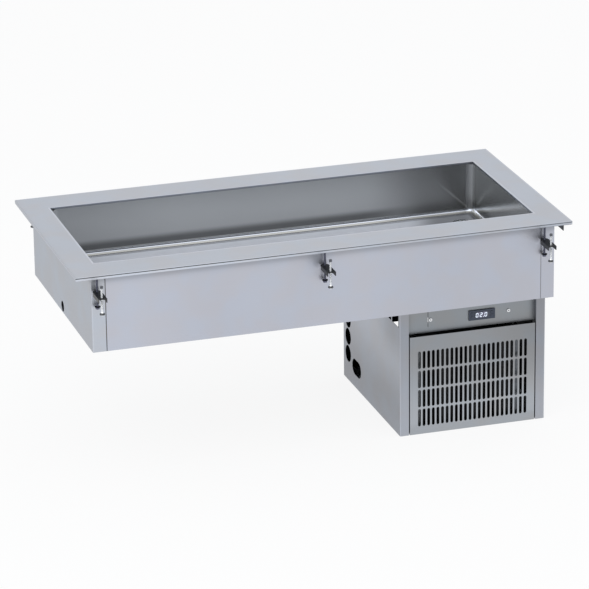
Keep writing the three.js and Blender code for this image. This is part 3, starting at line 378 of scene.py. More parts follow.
def tub_marks(finish, height, floor, gleam):
    """Soft shades of the tub, which studio light alone gives less of than the photograph shows.

    The walls have a painted dark band above the cove at their feet, are painted darker lower down, at both
    ends and in the corners, and the end wall at the drain is painted lighter. A painted light line runs along
    the cove, and a painted glint goes up the back wall from the drain's corner. The floor has a painted dark
    line along the cove's foot, and painted shade round the drain.
    """
    x, y = finish.x, finish.y
    ahead, aside = finish.distance(y), finish.distance(x)
    walls = finish.math("SUBTRACT", 1.0, floor)
    band_share = finish.either(finish.remap(x, *FOOT_BAND_FADE, 1.0, FOOT_BAND_LEAST, smooth=True),
                               finish.remap(x, *END_WALL, 0.0, FOOT_BAND_AT_END))
    foot_band = finish.both(finish.remap(height, *FOOT_BAND_BOTTOM),
                            finish.remap(height, *FOOT_BAND_TOP, smooth=True), band_share)
    drain_end = finish.both(walls, finish.remap(x, *DRAIN_END, smooth=True))
    from_foot = finish.math("MULTIPLY", finish.math("SUBTRACT", x, FLAT_HALF_X), GLINT_SLOPE)
    beside = finish.distance(finish.math("ADD", from_foot, finish.math("SUBTRACT", height, COVE)))
    glint = finish.both(finish.remap(y, *BACK_WALL), finish.remap(beside, *GLINT_BESIDE, smooth=True),
                        finish.remap(x, FLAT_HALF_X - GLINT_LENGTH, FLAT_HALF_X, smooth=True))
    corner = finish.both(walls, finish.remap(aside, FLAT_HALF_X + CORNER_START, FLAT_HALF_X + CORNER_FULL),
                         finish.remap(ahead, FLAT_HALF_Y + CORNER_START, FLAT_HALF_Y + CORNER_FULL))
    inward = finish.math("MINIMUM", finish.math("SUBTRACT", FLAT_HALF_Y, ahead),
                         finish.math("SUBTRACT", FLAT_HALF_X, aside))
    apart = finish.node("ShaderNodeVectorMath", operation="DISTANCE")
    finish.link(finish.vector(x, y), apart.inputs[0])
    apart.inputs[1].default_value = (DRAIN_X, DRAIN_Y, 0.0)
    return [
        (foot_band, 0.38),
        (finish.both(walls, finish.remap(height, *WALL_SHADE)), 0.85),
        (drain_end, 0.58),
        (finish.both(walls, finish.remap(x, *FAR_END, smooth=True)), 0.84),
        (finish.both(walls, finish.remap(x, *END_WALL)), 2.0),
        (gleam, 1.70),
        (finish.both(gleam, drain_end), 1.45),
        (glint, 2.1),
        (corner, 0.88),
        (finish.both(floor, finish.remap(inward, *FLOOR_EDGE_SHADE)), 0.55),
        (finish.both(floor, finish.remap(apart.outputs["Value"], *DRAIN_SHADE, smooth=True)), 0.42),
    ]


SPANGLE_SCALE = 90.0


def galvanised(name, tint):
    """Zinc-coated sheet: pale spangle of flat crystals with a soft sheen."""
    finish = Finish(name)
    level = finish.node("ShaderNodeSeparateColor")
    finish.link(finish.cells("F1", SPANGLE_SCALE)["Color"], level.inputs[0])
    finish.set(Base_Color=finish.shaded(colour(*tint), finish.remap(level.outputs[0], 0, 1, 0.86, 1.06)),
               Metallic=1.0, Roughness=finish.remap(level.outputs[1], 0, 1, 0.38, 0.52))
    return finish.material


THREAD_DEPTH = 0.00018
# How dark the optional band of painted shade is
DARK_BAND_SHADE = 0.12


def hardware(name, tint, rough, pitch=0.0, thread_foot=0.0, dark_band=None, groove_shade=0.75):
    """Turned steel, with an optional dark band of painted shade, and a thread round its z axis above the
    thread's foot, its grooves painted in shade.
    """
    finish = Finish(name)
    wear = finish.noise(scale=220.0, detail=3.0)
    marks = []
    if dark_band:
        marks.append((finish.between(finish.z, *dark_band, softness=0.0004), DARK_BAND_SHADE))
    if pitch:
        turn = finish.math("SINE", finish.math("MULTIPLY", finish.z, 2 * math.pi / pitch))
        on_shank = finish.remap(finish.z, thread_foot, thread_foot + 0.001)
        marks.append((finish.both(finish.remap(turn, -1.0, 0.2, 1.0, 0.0), on_shank), groove_shade))
        finish.bump(finish.both(turn, on_shank), THREAD_DEPTH)
    shade = finish.marked(finish.spread(wear, 0.92, 1.06), marks)
    finish.set(Base_Color=finish.shaded(colour(*tint), shade), Metallic=1.0,
               Roughness=finish.spread(wear, rough - 0.05, rough + 0.08))
    return finish.material


PEEL_SCALE = 480.0


def painted(name, tint, rough):
    """Enamel or powder coat with a fine orange-peel surface."""
    finish = Finish(name)
    peel = finish.noise(scale=PEEL_SCALE, detail=2.0)
    broad = finish.noise(scale=18.0, detail=3.0)
    finish.set(Base_Color=finish.shaded(colour(*tint), finish.spread(broad, 0.85, 1.15)),
               Roughness=finish.spread(broad, rough - 0.05, rough + 0.07), Specular_IOR_Level=0.5)
    finish.bump(peel, 0.00015, 0.6)
    return finish.material


NUT_TINT, NUT_ROUGH = (206, 210, 214), 0.3
NUT_INSET = 0.0002


def bracket_steel(name, tint, rough):
    """Black coated bracket whose small weld nut is bright zinc."""
    finish = Finish(name)
    wear = finish.noise(scale=150.0, detail=3.0)
    across = finish.either(*(finish.near(finish.x, x, NUT_REACH, NUT_INSET) for x in CLAMP_X))
    deep = finish.near(finish.distance(finish.y), CLAMP_SCREW_Y, NUT_REACH, NUT_INSET)
    upright = finish.between(finish.z, CLAMP_FOOT + NUT_INSET, CLAMP_FOOT + NUT_HEIGHT - NUT_INSET, 0.0001)
    nut = finish.both(across, deep, upright)
    coat = finish.shaded(colour(*tint), finish.spread(wear, 0.8, 1.2))
    finish.set(Base_Color=finish.mix(nut, coat, colour(*NUT_TINT)), Metallic=nut,
               Roughness=finish.blend(nut, finish.spread(wear, rough - 0.05, rough + 0.07), NUT_ROUGH))
    finish.bump(finish.noise(scale=PEEL_SCALE, detail=2.0), 0.00012, 0.5)
    return finish.material


def moulded(name, tint, rough):
    """Moulded plastic or rubber with a fine eroded texture."""
    finish = Finish(name)
    fine = finish.noise(scale=900.0, detail=2.0)
    broad = finish.noise(scale=30.0, detail=2.0)
    finish.set(Base_Color=finish.shaded(colour(*tint), finish.spread(broad, 0.93, 1.06)),
               Roughness=finish.spread(fine, rough - 0.04, rough + 0.04))
    finish.bump(fine, 0.00006, 0.5)
    return finish.material


OXIDE_TINT, PAINTED_SHADE_COPPER = (120, 74, 48), (24, 17, 14)
PAINTED_SHADE_ABOVE = (-0.350, -0.330)


def copper_tube(name, tint):
    """Drawn copper with darker oxidised patches, and painted shade on it behind the control panel and above
    it.
    """
    finish = Finish(name)
    patch = finish.noise(scale=40.0, detail=4.0)
    base = finish.mix(finish.remap(patch, 0.42, 0.68, smooth=True), colour(*tint), colour(*OXIDE_TINT))
    base = finish.mix(finish.remap(finish.z, *PAINTED_SHADE_ABOVE), base, colour(*PAINTED_SHADE_COPPER))
    finish.set(Base_Color=base, Metallic=1.0, Roughness=finish.spread(patch, 0.22, 0.45))
    return finish.material


FOAM_SHADE, FOAM_CELLS, CELL_DEPTH = (190, 160, 98), 260.0, 0.0006
POCKET_SHADE_TINT, POCKET_REACH, POCKET_END = (9, 9, 10), 0.022, (-0.640, -0.645)


def foam_skin(name, tint):
    """Rigid polyurethane foam: creamy, open-celled where cut, and painted black as shade behind the casing's
    cable hole.
    """
    finish = Finish(name)
    edges = finish.cells("DISTANCE_TO_EDGE", FOAM_CELLS)["Distance"]
    broad = finish.noise(scale=9.0, detail=4.0)
    base = finish.mix(finish.spread(broad, 0.0, 1.0, 0.15), colour(*tint), colour(*FOAM_SHADE))
    shaded_pocket = finish.both(finish.near(finish.y, CABLE_HOLE_Y, POCKET_REACH),
                         finish.near(finish.z, CABLE_HOLE_Z, POCKET_REACH),
                         finish.remap(finish.x, *POCKET_END))
    finish.set(Base_Color=finish.mix(shaded_pocket, base, colour(*POCKET_SHADE_TINT)), Roughness=0.85)
    finish.bump(edges, CELL_DEPTH, 0.7)
    return finish.material


FIN_PITCH = 0.0021
FIN_GAP_SHADE = (3, 3, 4)
END_PLATE_WIDTHS, PAST_BOX = (0.0055, 0.0045), 0.001
ZINC_DARK, ZINC_LIGHT = (120, 124, 128), (150, 154, 158)


def fin_pack(name, tint):
    """Thin fins edge-on in painted shade, nearly black between their edges, and the folded end plates that
    hold them.
    """
    finish = Finish(name)
    low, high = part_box("condenser")
    wave = finish.math("SINE", finish.math("MULTIPLY", finish.x, 2 * math.pi / FIN_PITCH))
    rows = finish.noise(scale=60.0, detail=2.0)
    share = finish.both(finish.remap(wave, -0.3, 0.9, 0.1, 1.0), finish.spread(rows, 0.75, 1.1))
    left, right = END_PLATE_WIDTHS
    plate = finish.either(finish.between(finish.x, low.x - PAST_BOX, low.x + left),
                          finish.between(finish.x, high.x - right, high.x + PAST_BOX))
    zinc = finish.mix(finish.noise(scale=240.0, detail=2.0), colour(*ZINC_DARK), colour(*ZINC_LIGHT))
    edges = finish.mix(share, colour(*FIN_GAP_SHADE), colour(*tint))
    finish.set(Base_Color=finish.mix(plate, edges, zinc), Metallic=finish.remap(plate, 0, 1, 0.3, 0.9),
               Roughness=finish.spread(rows, 0.5, 0.65))
    return finish.material


SHEEN_LOW, SHEEN_HIGH, WINDOW_ENDS = (86, 86, 108), (124, 122, 146), (54, 62, 78)
SHEEN_HALF_WIDTH, SHEEN_ASIDE = 0.0155, 0.001


def display_window(name):
    """Glossy window with dark ends, and between them a faint painted sheen that is stronger at the top."""
    finish = Finish(name)
    fade = finish.remap(finish.z, DISPLAY_LOW.z, DISPLAY_HIGH.z)
    speck = finish.noise(scale=700.0, detail=2.0)
    share = finish.math("ADD", finish.math("MULTIPLY", fade, 0.6), finish.math("MULTIPLY", speck, 0.4))
    middle = finish.near(finish.x, DISPLAY_CENTRE.x - SHEEN_ASIDE, SHEEN_HALF_WIDTH, 0.001)
    sheen = finish.mix(share, colour(*SHEEN_LOW), colour(*SHEEN_HIGH))
    finish.set(Base_Color=finish.mix(middle, colour(*WINDOW_ENDS), sheen),
               Roughness=finish.spread(speck, 0.12, 0.2), Coat_Weight=0.5)
    return finish.material


def lit_segment(name, tint, strength):
    """A glowing display segment with a fine grain."""
    finish = Finish(name)
    speck = finish.noise(scale=1500.0, detail=1.0)
    base = finish.mix(finish.spread(speck, 0.0, 1.0), colour(*tint), moved(tint, 14, 14, 14))
    finish.set(Base_Color=base, Emission_Color=base, Emission_Strength=strength, Roughness=0.4)
    return finish.material


# Painted shades and highlights of the sheets, at their folds, edges and overhangs, and their dark seams

# A pair is where a mask begins and where it is full, and a line's pair is its two edges
LIP_FACE = (-0.0004, -0.0002)
LIP_LIGHT = (0.50, -0.55)
LIP_LEFT = (0.30, -0.30)
FOLD_SHADE_LINE = (0.0062, 0.0086)
HEM_SHADE_LINE = (-0.001, 0.0010)
BORDER_WIDTH = 0.004
MOUTH_HIGHLIGHT = (0.0055, 0.0045)
MOUTH_WALL = (0.0003, 0.0002)


def rim_marks(finish):
    """Painted shade lines at the lip's top fold and at its hem, painted highlights along the rim's outer
    border and the opening's edge, and painted shade on the opening's turned-down edge and the rim's left end.
    The lip is painted lighter to the left.
    """
    x, z = finish.x, finish.z
    ahead, aside = finish.distance(finish.y), finish.distance(x)

    def within(reach):
        """Inside the opening and the given range past its sides."""
        return [finish.remap(along, half + reach[0], half + reach[1])
                for along, half in ((aside, OPEN_HALF_X), (ahead, OPEN_HALF_Y))]

    # A band of painted highlight along a folded edge of the rim's top
    def folded(along, half):
        return finish.between(along, half - BORDER_WIDTH, half - 0.0006)

    long_lip, end_lip = (finish.remap(along, half + LIP_FACE[0], half + LIP_FACE[1])
                         for along, half in ((ahead, RIM_HALF_Y), (aside, RIM_HALF_X)))
    lip = finish.either(long_lip, end_lip)
    to_left = finish.remap(x, *LIP_LEFT)
    line = finish.both(long_lip, finish.between(z, *FOLD_SHADE_LINE))
    hem_shade = finish.both(lip, finish.between(z, *HEM_SHADE_LINE))
    edge_highlight = finish.either(folded(ahead, RIM_HALF_Y), folded(aside, RIM_HALF_X))
    left_edge_shade = finish.remap(x, BORDER_WIDTH + 0.0002 - RIM_HALF_X, BORDER_WIDTH - 0.0002 - RIM_HALF_X)
    left_lip_shade = finish.remap(x, 0.0004 - RIM_HALF_X, 0.0002 - RIM_HALF_X)
    opening_highlight = finish.both(*within(MOUTH_HIGHLIGHT), finish.remap(z, RIM_TOP - 0.0006, RIM_TOP - 0.0003))
    turned_down_shade = finish.both(*within(MOUTH_WALL), finish.remap(z, RIM_TOP - 0.0022, RIM_TOP - 0.0030))
    return [
        (lip, 1.10), (finish.both(lip, finish.remap(x, *LIP_LIGHT)), 1.38),
        (line, 0.38), (finish.both(line, to_left), 0.45),
        (hem_shade, 0.55), (finish.both(hem_shade, to_left), 1.50),
        (edge_highlight, 1.12), (left_edge_shade, 0.83), (left_lip_shade, 0.77),
        (opening_highlight, 1.18), (turned_down_shade, 0.74),
    ]


UNDER_RIM_BROAD, UNDER_RIM_CLOSE, UNDER_RIM_EDGE = (-0.035, -0.005), (-0.024, -0.007), (-0.0075, -0.0045)
CASING_RIGHT_SHADE, CASING_LEFT_LIGHT = (0.05, 0.45), (-0.30, -0.62)


def casing_marks(finish):
    """Dark seams of the end returns, the painted soft shadow under the rim's overhang, and painted light that
    is stronger to the left and weaker to the right.
    """
    x, z = finish.x, finish.z
    return [
        (finish.near(x, -SEAM_X, SEAM_HALF_WIDTH), 0.27),
        (finish.near(x, SEAM_X, SEAM_HALF_WIDTH), 0.75),
        (finish.remap(z, *UNDER_RIM_BROAD, smooth=True), 0.87),
        (finish.remap(z, *UNDER_RIM_CLOSE, smooth=True), 0.82),
        (finish.remap(z, *UNDER_RIM_EDGE), 0.78),
        (finish.remap(x, *CASING_RIGHT_SHADE, smooth=True), 0.95),
        (finish.remap(x, *CASING_LEFT_LIGHT, smooth=True), 1.07),
    ]


def end_marks(finish):
    """As the casing, with its narrow front return painted as bright as the front, and a painted highlight on
    its bend at the left corner.
    """
    front = finish.remap(finish.y, CASING_FRONT + 0.0014, CASING_FRONT + 0.0010)
    bend = finish.both(front, finish.near(finish.x, CASING_LEFT, 0.0026))
    return casing_marks(finish) + [(front, 1.36), (bend, 1.10)]


BEHIND_FRONT = (HOUSE_FRONT + 0.0014, HOUSE_FRONT + 0.0018)
SIDE_FOOT, UPPER_FRONT = (-0.34, -0.54), (-0.60, -0.24)
RIGHT_FRONT, UPPER_RIGHT = (0.50, 0.66), (-0.56, -0.42)
UNDER_WELL_DEPTH, UNDER_WELL_HEIGHT = (-0.060, -0.240), (-0.420, -0.300)


def side_marks(finish):
    """Painted highlights on the bends at the front corners, and painted soft shadows under the well and at
    the foot.

    The narrow front returns are painted darker towards the top, the right one a little more.
    """
    x, y, z = finish.x, finish.y, finish.z
    corners = finish.either(*(finish.near(x, at, 0.0022) for at in (HOUSE_LEFT, HOUSE_RIGHT)))
    bend = finish.both(finish.between(y, HOUSE_FRONT - 0.001, HOUSE_FRONT + 0.0012), corners)
    behind = finish.remap(y, *BEHIND_FRONT)
    foot = finish.both(behind, finish.remap(z, *SIDE_FOOT, smooth=True))
    under_well = finish.both(finish.remap(y, *UNDER_WELL_DEPTH, smooth=True), behind,
                             finish.remap(z, *UNDER_WELL_HEIGHT, smooth=True))
    front = finish.between(y, HOUSE_FRONT - 0.001, HOUSE_FRONT + 0.0006)
    upper_front = finish.both(front, finish.remap(z, *UPPER_FRONT, smooth=True))
    right_front = finish.both(front, finish.remap(x, *RIGHT_FRONT),
                              finish.remap(z, *UPPER_RIGHT, smooth=True))
    return [(bend, 1.16), (foot, 0.68), (under_well, 0.74), (upper_front, 0.80), (right_front, 0.88)]


def side_inside_shade(finish):
    """Where the housing's inner faces are painted in shade: between the two sides' sheets, behind the control
    panel's and before the back's.
    """
    return finish.both(finish.between(finish.x, HOUSE_LEFT + 0.0008, HOUSE_RIGHT - 0.0008),
                       finish.remap(finish.y, CONTROL_FRONT + 0.0008, CONTROL_FRONT + 0.0012),
                       finish.remap(finish.y, HOUSE_BACK - 0.0007, HOUSE_BACK - 0.0012))


GRILLE_SHADE, GRILLE_FOOT, GRILLE_RIGHT = (-0.575, -0.320), (-0.575, -0.590), (0.46, 0.63)


def grille_marks(finish):
    """Painted soft shadow from the well above, down the whole panel, and painted shade on its foot and upper
    right corner.
    """
    corner = finish.both(finish.remap(finish.x, *GRILLE_RIGHT),
                         finish.remap(finish.z, *UPPER_RIGHT, smooth=True))
    return [(finish.remap(finish.z, *GRILLE_SHADE, smooth=True), 0.71),
            (finish.remap(finish.z, *GRILLE_FOOT), 0.91), (corner, 0.86)]


# The grille's inner face, painted in shade
def grille_inside_shade(finish):
    return finish.between(finish.y, HOUSE_FRONT + 0.0007, HOUSE_FRONT + 0.0014, 0.0001)


CONTROL_TOP = (-0.2272, -0.2248)
CONTROL_SIDE = (0.047, 0.027)


def control_marks(finish):
    """Soft shadow under the well over the whole panel, deeper at its top and beside the front returns."""
    start, full = CONTROL_SIDE
    beside = finish.either(finish.remap(finish.x, HOUSE_LEFT + start, HOUSE_LEFT + full, smooth=True),
                           finish.remap(finish.x, HOUSE_RIGHT - start, HOUSE_RIGHT - full, smooth=True))
    return [(None, 0.70), (finish.remap(finish.z, *CONTROL_TOP), 0.60), (beside, 0.84)]


# The control panel's inner face, painted in shade
def control_inside_shade(finish):
    return finish.remap(finish.y, CONTROL_FRONT + 0.0005, CONTROL_FRONT + 0.0007)


# The back plate's inner face, painted in shade
def back_inside_shade(finish):
    return finish.remap(finish.y, BACK_PLATE_REAR - 0.0004, BACK_PLATE_REAR - 0.0006)


# Dressing of the CAD nodes
finishes = {
    "rim_steel": brushed("rim_steel", (178, 182, 191), 0.36, "x", marks=rim_marks),
    "tub_steel": tub_finish("tub_steel", (190, 191, 190), (223, 227, 236)),
    "casing_steel": brushed("casing_steel", (193, 196, 207), 0.40, marks=casing_marks),
    "housing_steel": brushed("housing_steel", (174, 177, 185), 0.40, marks=side_marks, inside=side_inside_shade),
    "galvanised_steel": galvanised("galvanised_steel", (150, 156, 160)),
    "bright_steel": hardware("bright_steel", (222, 226, 232), 0.22),
    "dark_steel": hardware("dark_steel", (106, 108, 124), 0.42, BOLT_PITCH, BOLT_THREAD_FOOT, BOLT_WASHER),
    "black_steel": bracket_steel("black_steel", (20, 22, 24), 0.38),
    "black_paint": painted("black_paint", (16, 17, 19), 0.33),
    "black_plastic": moulded("black_plastic", (20, 21, 23), 0.45),
    "bezel_plastic": moulded("bezel_plastic", (58, 66, 82), 0.42),
    "display": display_window("display"),
    # The condenser's aluminium fins, tinted near black as painted shade behind the grille
    "fins": fin_pack("fins", (22, 24, 28)),
    "foam": foam_skin("foam", (226, 202, 140)),
    "copper": copper_tube("copper", (196, 122, 82)),
    "valve_brass": hardware("valve_brass", (196, 176, 120), 0.3),
}

screw_steel = hardware("screw_steel", (240, 242, 245), 0.3)
own_finishes = {
    # The left end panel: the casing's steel in a darker tint as painted shade on its side, its front return
    # painted bright again
    "left_end_panel": brushed("casing_end_steel_shaded", (167, 171, 179), 0.40, marks=end_marks),
    "control_panel": brushed("control_steel", (172, 176, 181), 0.40, marks=control_marks,
                             inside=control_inside_shade),
    "grille_panel": brushed("grille_steel", (176, 179, 184), 0.38, marks=grille_marks, inside=grille_inside_shade),
    "housing_back": brushed("back_plate_steel", (172, 176, 181), 0.40, inside=back_inside_shade),
    "panel_screw_1": screw_steel,
    "panel_screw_2": screw_steel,
}
thumbscrew_front, thumbscrew_back = (
    hardware(f"thumbscrew_steel_{side}", (238, 241, 245), 0.26, SCREW_PITCH, SCREW_THREAD_FOOT - lowered,
             tuple(z - lowered for z in SCREW_HEAD_SHADE_BAND), groove_shade=0.90)
    for side, lowered in (("front", 0.0), ("back", BACK_SCREWS_LOWERED)))
grip_pad = moulded("grip_pad", (86, 88, 95), 0.5)

SMOOTH_SLOTS = ("tub_steel", "bright_steel", "dark_steel", "valve_brass", "black_paint", "copper",
                "black_plastic")
SMOOTH_LIMIT = math.radians(32)
WELD_DISTANCE = 0.00001
EDGED_SLOTS = ("bezel_plastic", "black_steel", "bright_steel", "dark_steel", "display")
EDGE_LIMIT = math.radians(35)
EDGE_WIDTH = 0.0004


def smoothing_group():
    """Welds a part's split vertices and shades it smooth, but for edges sharper than SMOOTH_LIMIT."""
    tree = bpy.data.node_groups.new("smooth_by_angle", "GeometryNodeTree")
    for direction in ("INPUT", "OUTPUT"):
        tree.interface.new_socket("Geometry", in_out=direction, socket_type="NodeSocketGeometry")
    group = Graph(tree)
    weld = group.node("GeometryNodeMergeByDistance")
    weld.inputs["Distance"].default_value = WELD_DISTANCE
    sharp = group.node("GeometryNodeSetShadeSmooth", domain="EDGE")
    sharp.inputs["Shade Smooth"].default_value = False
    angle = group.node("GeometryNodeInputMeshEdgeAngle").outputs["Unsigned Angle"]
    group.link(group.math("GREATER_THAN", angle, SMOOTH_LIMIT), sharp.inputs["Selection"])
    chain = [group.node("NodeGroupInput"), weld, group.node("GeometryNodeSetShadeSmooth"), sharp,
             group.node("NodeGroupOutput")]
    for first, second in zip(chain, chain[1:]):
        group.link(first.outputs["Geometry"], second.inputs["Geometry"])
    return tree


def finish_of(name):
    """The finish of a node's record slot, or its own."""
    if "clamp" in name and name.endswith("_screw"):
        return thumbscrew_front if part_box(name)[0].y < 0 else thumbscrew_back
    if "clamp" in name and name.endswith("_pad"):
        return grip_pad
    return own_finishes.get(name, finishes[slot_of[name]])


def dress_nodes():
    """Gives every CAD node its finish, and rounds the edges that light catches."""
    smoothing = smoothing_group()
    for name, node in nodes.items():
        node.data.materials.clear()
        node.data.materials.append(finish_of(name))
        if slot_of[name] in SMOOTH_SLOTS:
            node.modifiers.new("soft", "NODES").node_group = smoothing
        if slot_of[name] in EDGED_SLOTS:
            edge = node.modifiers.new("edge", "BEVEL")
            edge.width = EDGE_WIDTH
            edge.segments = 2
            edge.limit_method = "ANGLE"
            edge.angle_limit = EDGE_LIMIT
            edge.use_clamp_overlap = True


# Small pieces
def mesh_piece(name, build, finish, body="root"):
    """A piece made by a bmesh function, riding on a body."""
    mesh = bpy.data.meshes.new(name)
    work = bmesh.new()
    build(work)
    bmesh.ops.recalc_face_normals(work, faces=work.faces)
    work.to_mesh(mesh)
    work.free()
    mesh.materials.append(finish)
    piece = bpy.data.objects.new(name, mesh)
    bpy.context.collection.objects.link(piece)
    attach(piece, body)


def join_rings(work, ring, following, smooth=False):
    """A band of faces between two closed rings with as many vertices."""
    for k, vertex in enumerate(ring):
        m = (k + 1) % len(ring)
        work.faces.new((vertex, ring[m], following[m], following[k])).smooth = smooth


def add_prism(work, near_points, far_points):
    """A solid between two outlines."""
    near, far = ([work.verts.new(point) for point in points] for points in (near_points, far_points))
    work.faces.new(near)
    work.faces.new(far[::-1])
    join_rings(work, near, far)


def add_plate(work, outline, y_front, y_back):
    """A solid between two planes across y, from (x, z) points."""
    add_prism(work, *([(x, y, z) for x, z in outline] for y in (y_front, y_back)))


def add_tube(work, points, radius, sides=8):
    """A closed round tube along points that lie in one plane across y."""
    ahead = Vector((0, 1, 0))
    turns = [2 * math.pi * k / sides for k in range(sides)]
    rings = []
    for i, point in enumerate(points):
        along = (points[min(i + 1, len(points) - 1)] - points[max(i - 1, 0)]).normalized()
        aside = along.cross(ahead)
        rings.append([work.verts.new(point + radius * (math.cos(t) * aside + math.sin(t) * ahead))
                      for t in turns])
    for ring, following in zip(rings, rings[1:]):
        join_rings(work, ring, following, smooth=True)
    work.faces.new(rings[0])
    work.faces.new(rings[-1][::-1])


DIGIT_SEGMENTS = {"0": "abcdef", "2": "abged"}
DIGITS = "020"
DIGIT_WIDTH, DIGIT_HEIGHT, DIGIT_BAR, DIGIT_PITCH = 0.0080, 0.0132, 0.0019, 0.0125
DIGIT_SLANT = 0.10
DIGIT_THICKNESS = 0.0002
FIRST_DIGIT_LEFT = 0.0195
AFTER_DOT = 0.0018
DOT_LEFT = 0.0022


def segment_outline(segment, left, bottom):
    """Six-sided outline of one display segment, as (x, z) points."""
    half, gap = DIGIT_BAR / 2, DIGIT_BAR * 0.12
    right, top, middle = left + DIGIT_WIDTH, bottom + DIGIT_HEIGHT, bottom + DIGIT_HEIGHT / 2
    level = {"a": top - half, "g": middle, "d": bottom + half}
    upright = {"f": (left + half, middle, top), "b": (right - half, middle, top),
               "e": (left + half, bottom, middle), "c": (right - half, bottom, middle)}
    if segment in level:
        z = level[segment]
        x0, x1 = left + half + gap, right - half - gap
        return [(x0, z), (x0 + half, z + half), (x1 - half, z + half), (x1, z), (x1 - half, z - half),
                (x0 + half, z - half)]
    x, z0, z1 = upright[segment]
    z0, z1 = z0 + half * (z0 == bottom) + gap, z1 - half * (z1 == top) - gap
    return [(x, z0), (x + half, z0 + half), (x + half, z1 - half), (x, z1), (x - half, z1 - half),
            (x - half, z0 + half)]


def make_digits():
    """Plain lit digits on the display window."""
    face = DISPLAY_LOW.y
    bottom = DISPLAY_CENTRE.z - DIGIT_HEIGHT / 2
    start = DISPLAY_CENTRE.x - FIRST_DIGIT_LEFT
    last = len(DIGITS) - 1

    def build(work):
        for i, digit in enumerate(DIGITS):
            left = start + i * DIGIT_PITCH + (AFTER_DOT if i == last else 0)
            for segment in DIGIT_SEGMENTS[digit]:
                outline = segment_outline(segment, left, bottom)
                add_plate(work, [(x + (z - DISPLAY_CENTRE.z) * DIGIT_SLANT, z) for x, z in outline],
                          face - DIGIT_THICKNESS, face)
        dot = start + last * DIGIT_PITCH - DOT_LEFT
        dot_right, dot_top = dot + DIGIT_BAR, bottom + DIGIT_BAR
        add_plate(work, [(dot, bottom), (dot_right, bottom), (dot_right, dot_top), (dot, dot_top)],
                  face - DIGIT_THICKNESS, face)

    mesh_piece("display_digits", build, lit_segment("lit_segment", (214, 224, 236), 0.75))


RECESS_REACH, RECESS_HALF_WIDTH = 0.0027, 0.0006
RECESS_PROUD, RECESS_SUNK = 0.00004, 0.0001


def make_screw_recesses():
    """Dark cross recess in the head of each panel screw: a thin cross plate painted as the recess's shadow.
    """
    finish = painted("recess_shadow", (12, 12, 13), 0.6)
    long, thin = RECESS_REACH, RECESS_HALF_WIDTH
    cross = [(thin, thin), (thin, long), (-thin, long), (-thin, thin), (-long, thin), (-long, -thin),
             (-thin, -thin), (-thin, -long), (thin, -long), (thin, -thin), (long, -thin), (long, thin)]
    for number in (1, 2):
        low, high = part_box(f"panel_screw_{number}")
        outline = [((low.x + high.x) / 2 + a, (low.z + high.z) / 2 + b) for a, b in cross]

        def build(work, outline=outline, face=low.y):
            add_plate(work, outline, face - RECESS_PROUD, face + RECESS_SUNK)

        mesh_piece(f"screw_recess_{number}", build, finish)


CONDENSER_PLAY = 0.0003


def make_end_plate():
    """Folded end plate at the condenser's right end."""
    low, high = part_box("condenser")
    sheet, flange, inset, short = 0.0010, 0.0085, 0.0006, 0.001
    start = high.x + CONDENSER_PLAY
    front, rear = low.y + inset, high.y - inset
    outline = [(start, front), (start + flange, front), (start + flange, front + sheet),
               (start + sheet, front + sheet), (start + sheet, rear - sheet), (start + flange, rear - sheet),
               (start + flange, rear), (start, rear)]

    def build(work):
        add_prism(work, *([(x, y, z) for x, y in outline] for z in (low.z + short, high.z - short)))

    zinc = galvanised("end_plate_zinc", (118, 122, 128))
    mesh_piece("condenser_end_plate", build, zinc)


def make_return_bends():
    """Return bends of the condenser's tubes at its left end, in two rows."""
    low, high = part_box("condenser")
    radius, pitch, reach = 0.0040, 0.0250, 0.0060
    behind_front, before_back, below_first, above_last = 0.014, 0.012, 0.020, 0.008
    half = pitch / 2
    steps = 8
    turns = [math.pi * k / steps for k in range(steps + 1)]

    def build(work):
        for row, y in enumerate((low.y + behind_front, high.y - before_back)):
            z = low.z + below_first + row * half
            while z + pitch < high.z - above_last:
                bend = [Vector((low.x - reach - half * math.sin(t), y, z + half * (1 - math.cos(t))))
                        for t in turns]
                foot, top = (Vector((low.x - CONDENSER_PLAY, y, height)) for height in (z, z + pitch))
                add_tube(work, [foot, *bend, top], radius)
                z += 2 * pitch

    mesh_piece("condenser_return_bends", build, copper_tube("bend_copper", (176, 108, 74)))


def make_outlet_edging():
    """Black edge strip that grips the sheet all round the rear air outlet."""
    back_low, back_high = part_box("housing_back")
    inside, outside, lip, play, soft = 0.0040, 0.0042, 0.0014, 0.0002, 0.0004
    front, rear = back_low.y - play, back_high.y + play
    profile = [(-inside + soft, front - lip), (outside - soft, front - lip), (outside, front - lip + soft),
               (outside, front), (-play, front), (-play, rear), (outside, rear), (outside, rear + lip - soft),
               (outside - soft, rear + lip), (-inside + soft, rear + lip), (-inside, rear + lip - soft),
               (-inside, front - lip + soft)]
    corners = [(OUTLET_LEFT, OUTLET_BOTTOM, -1, -1), (OUTLET_RIGHT, OUTLET_BOTTOM, 1, -1),
               (OUTLET_RIGHT, OUTLET_TOP, 1, 1), (OUTLET_LEFT, OUTLET_TOP, -1, 1)]

    def build(work):
        rings = [[work.verts.new((x + side * out, y, z + rise * out)) for out, y in profile]
                 for x, z, side, rise in corners]
        for ring, following in zip(rings, rings[1:] + rings[:1]):
            join_rings(work, ring, following)

    mesh_piece("outlet_edging", build, moulded("edging_rubber", (24, 25, 27), 0.6))


# Floor, world and lamps
FLOOR_HALF = 30.0
FLOOR_DROP = 0.0005
FLOOR_GREY = (0.94, 0.96)
FLOOR_WHITE = 0.88
WORLD_TINT = (0.95, 0.97, 1.0, 1.0)
WORLD_LIGHT = 0.75
# The unlit side's level direction, and how far towards it and how high its mask begins and is full
DARK_SIDE = (0.28, -0.96)
DARK_AHEAD = (0.30, 0.62)
DARK_ABOVE = (0.02, 0.14)
DARK_TOP = (0.50, 0.68)
DARK_DEPTH = 0.90
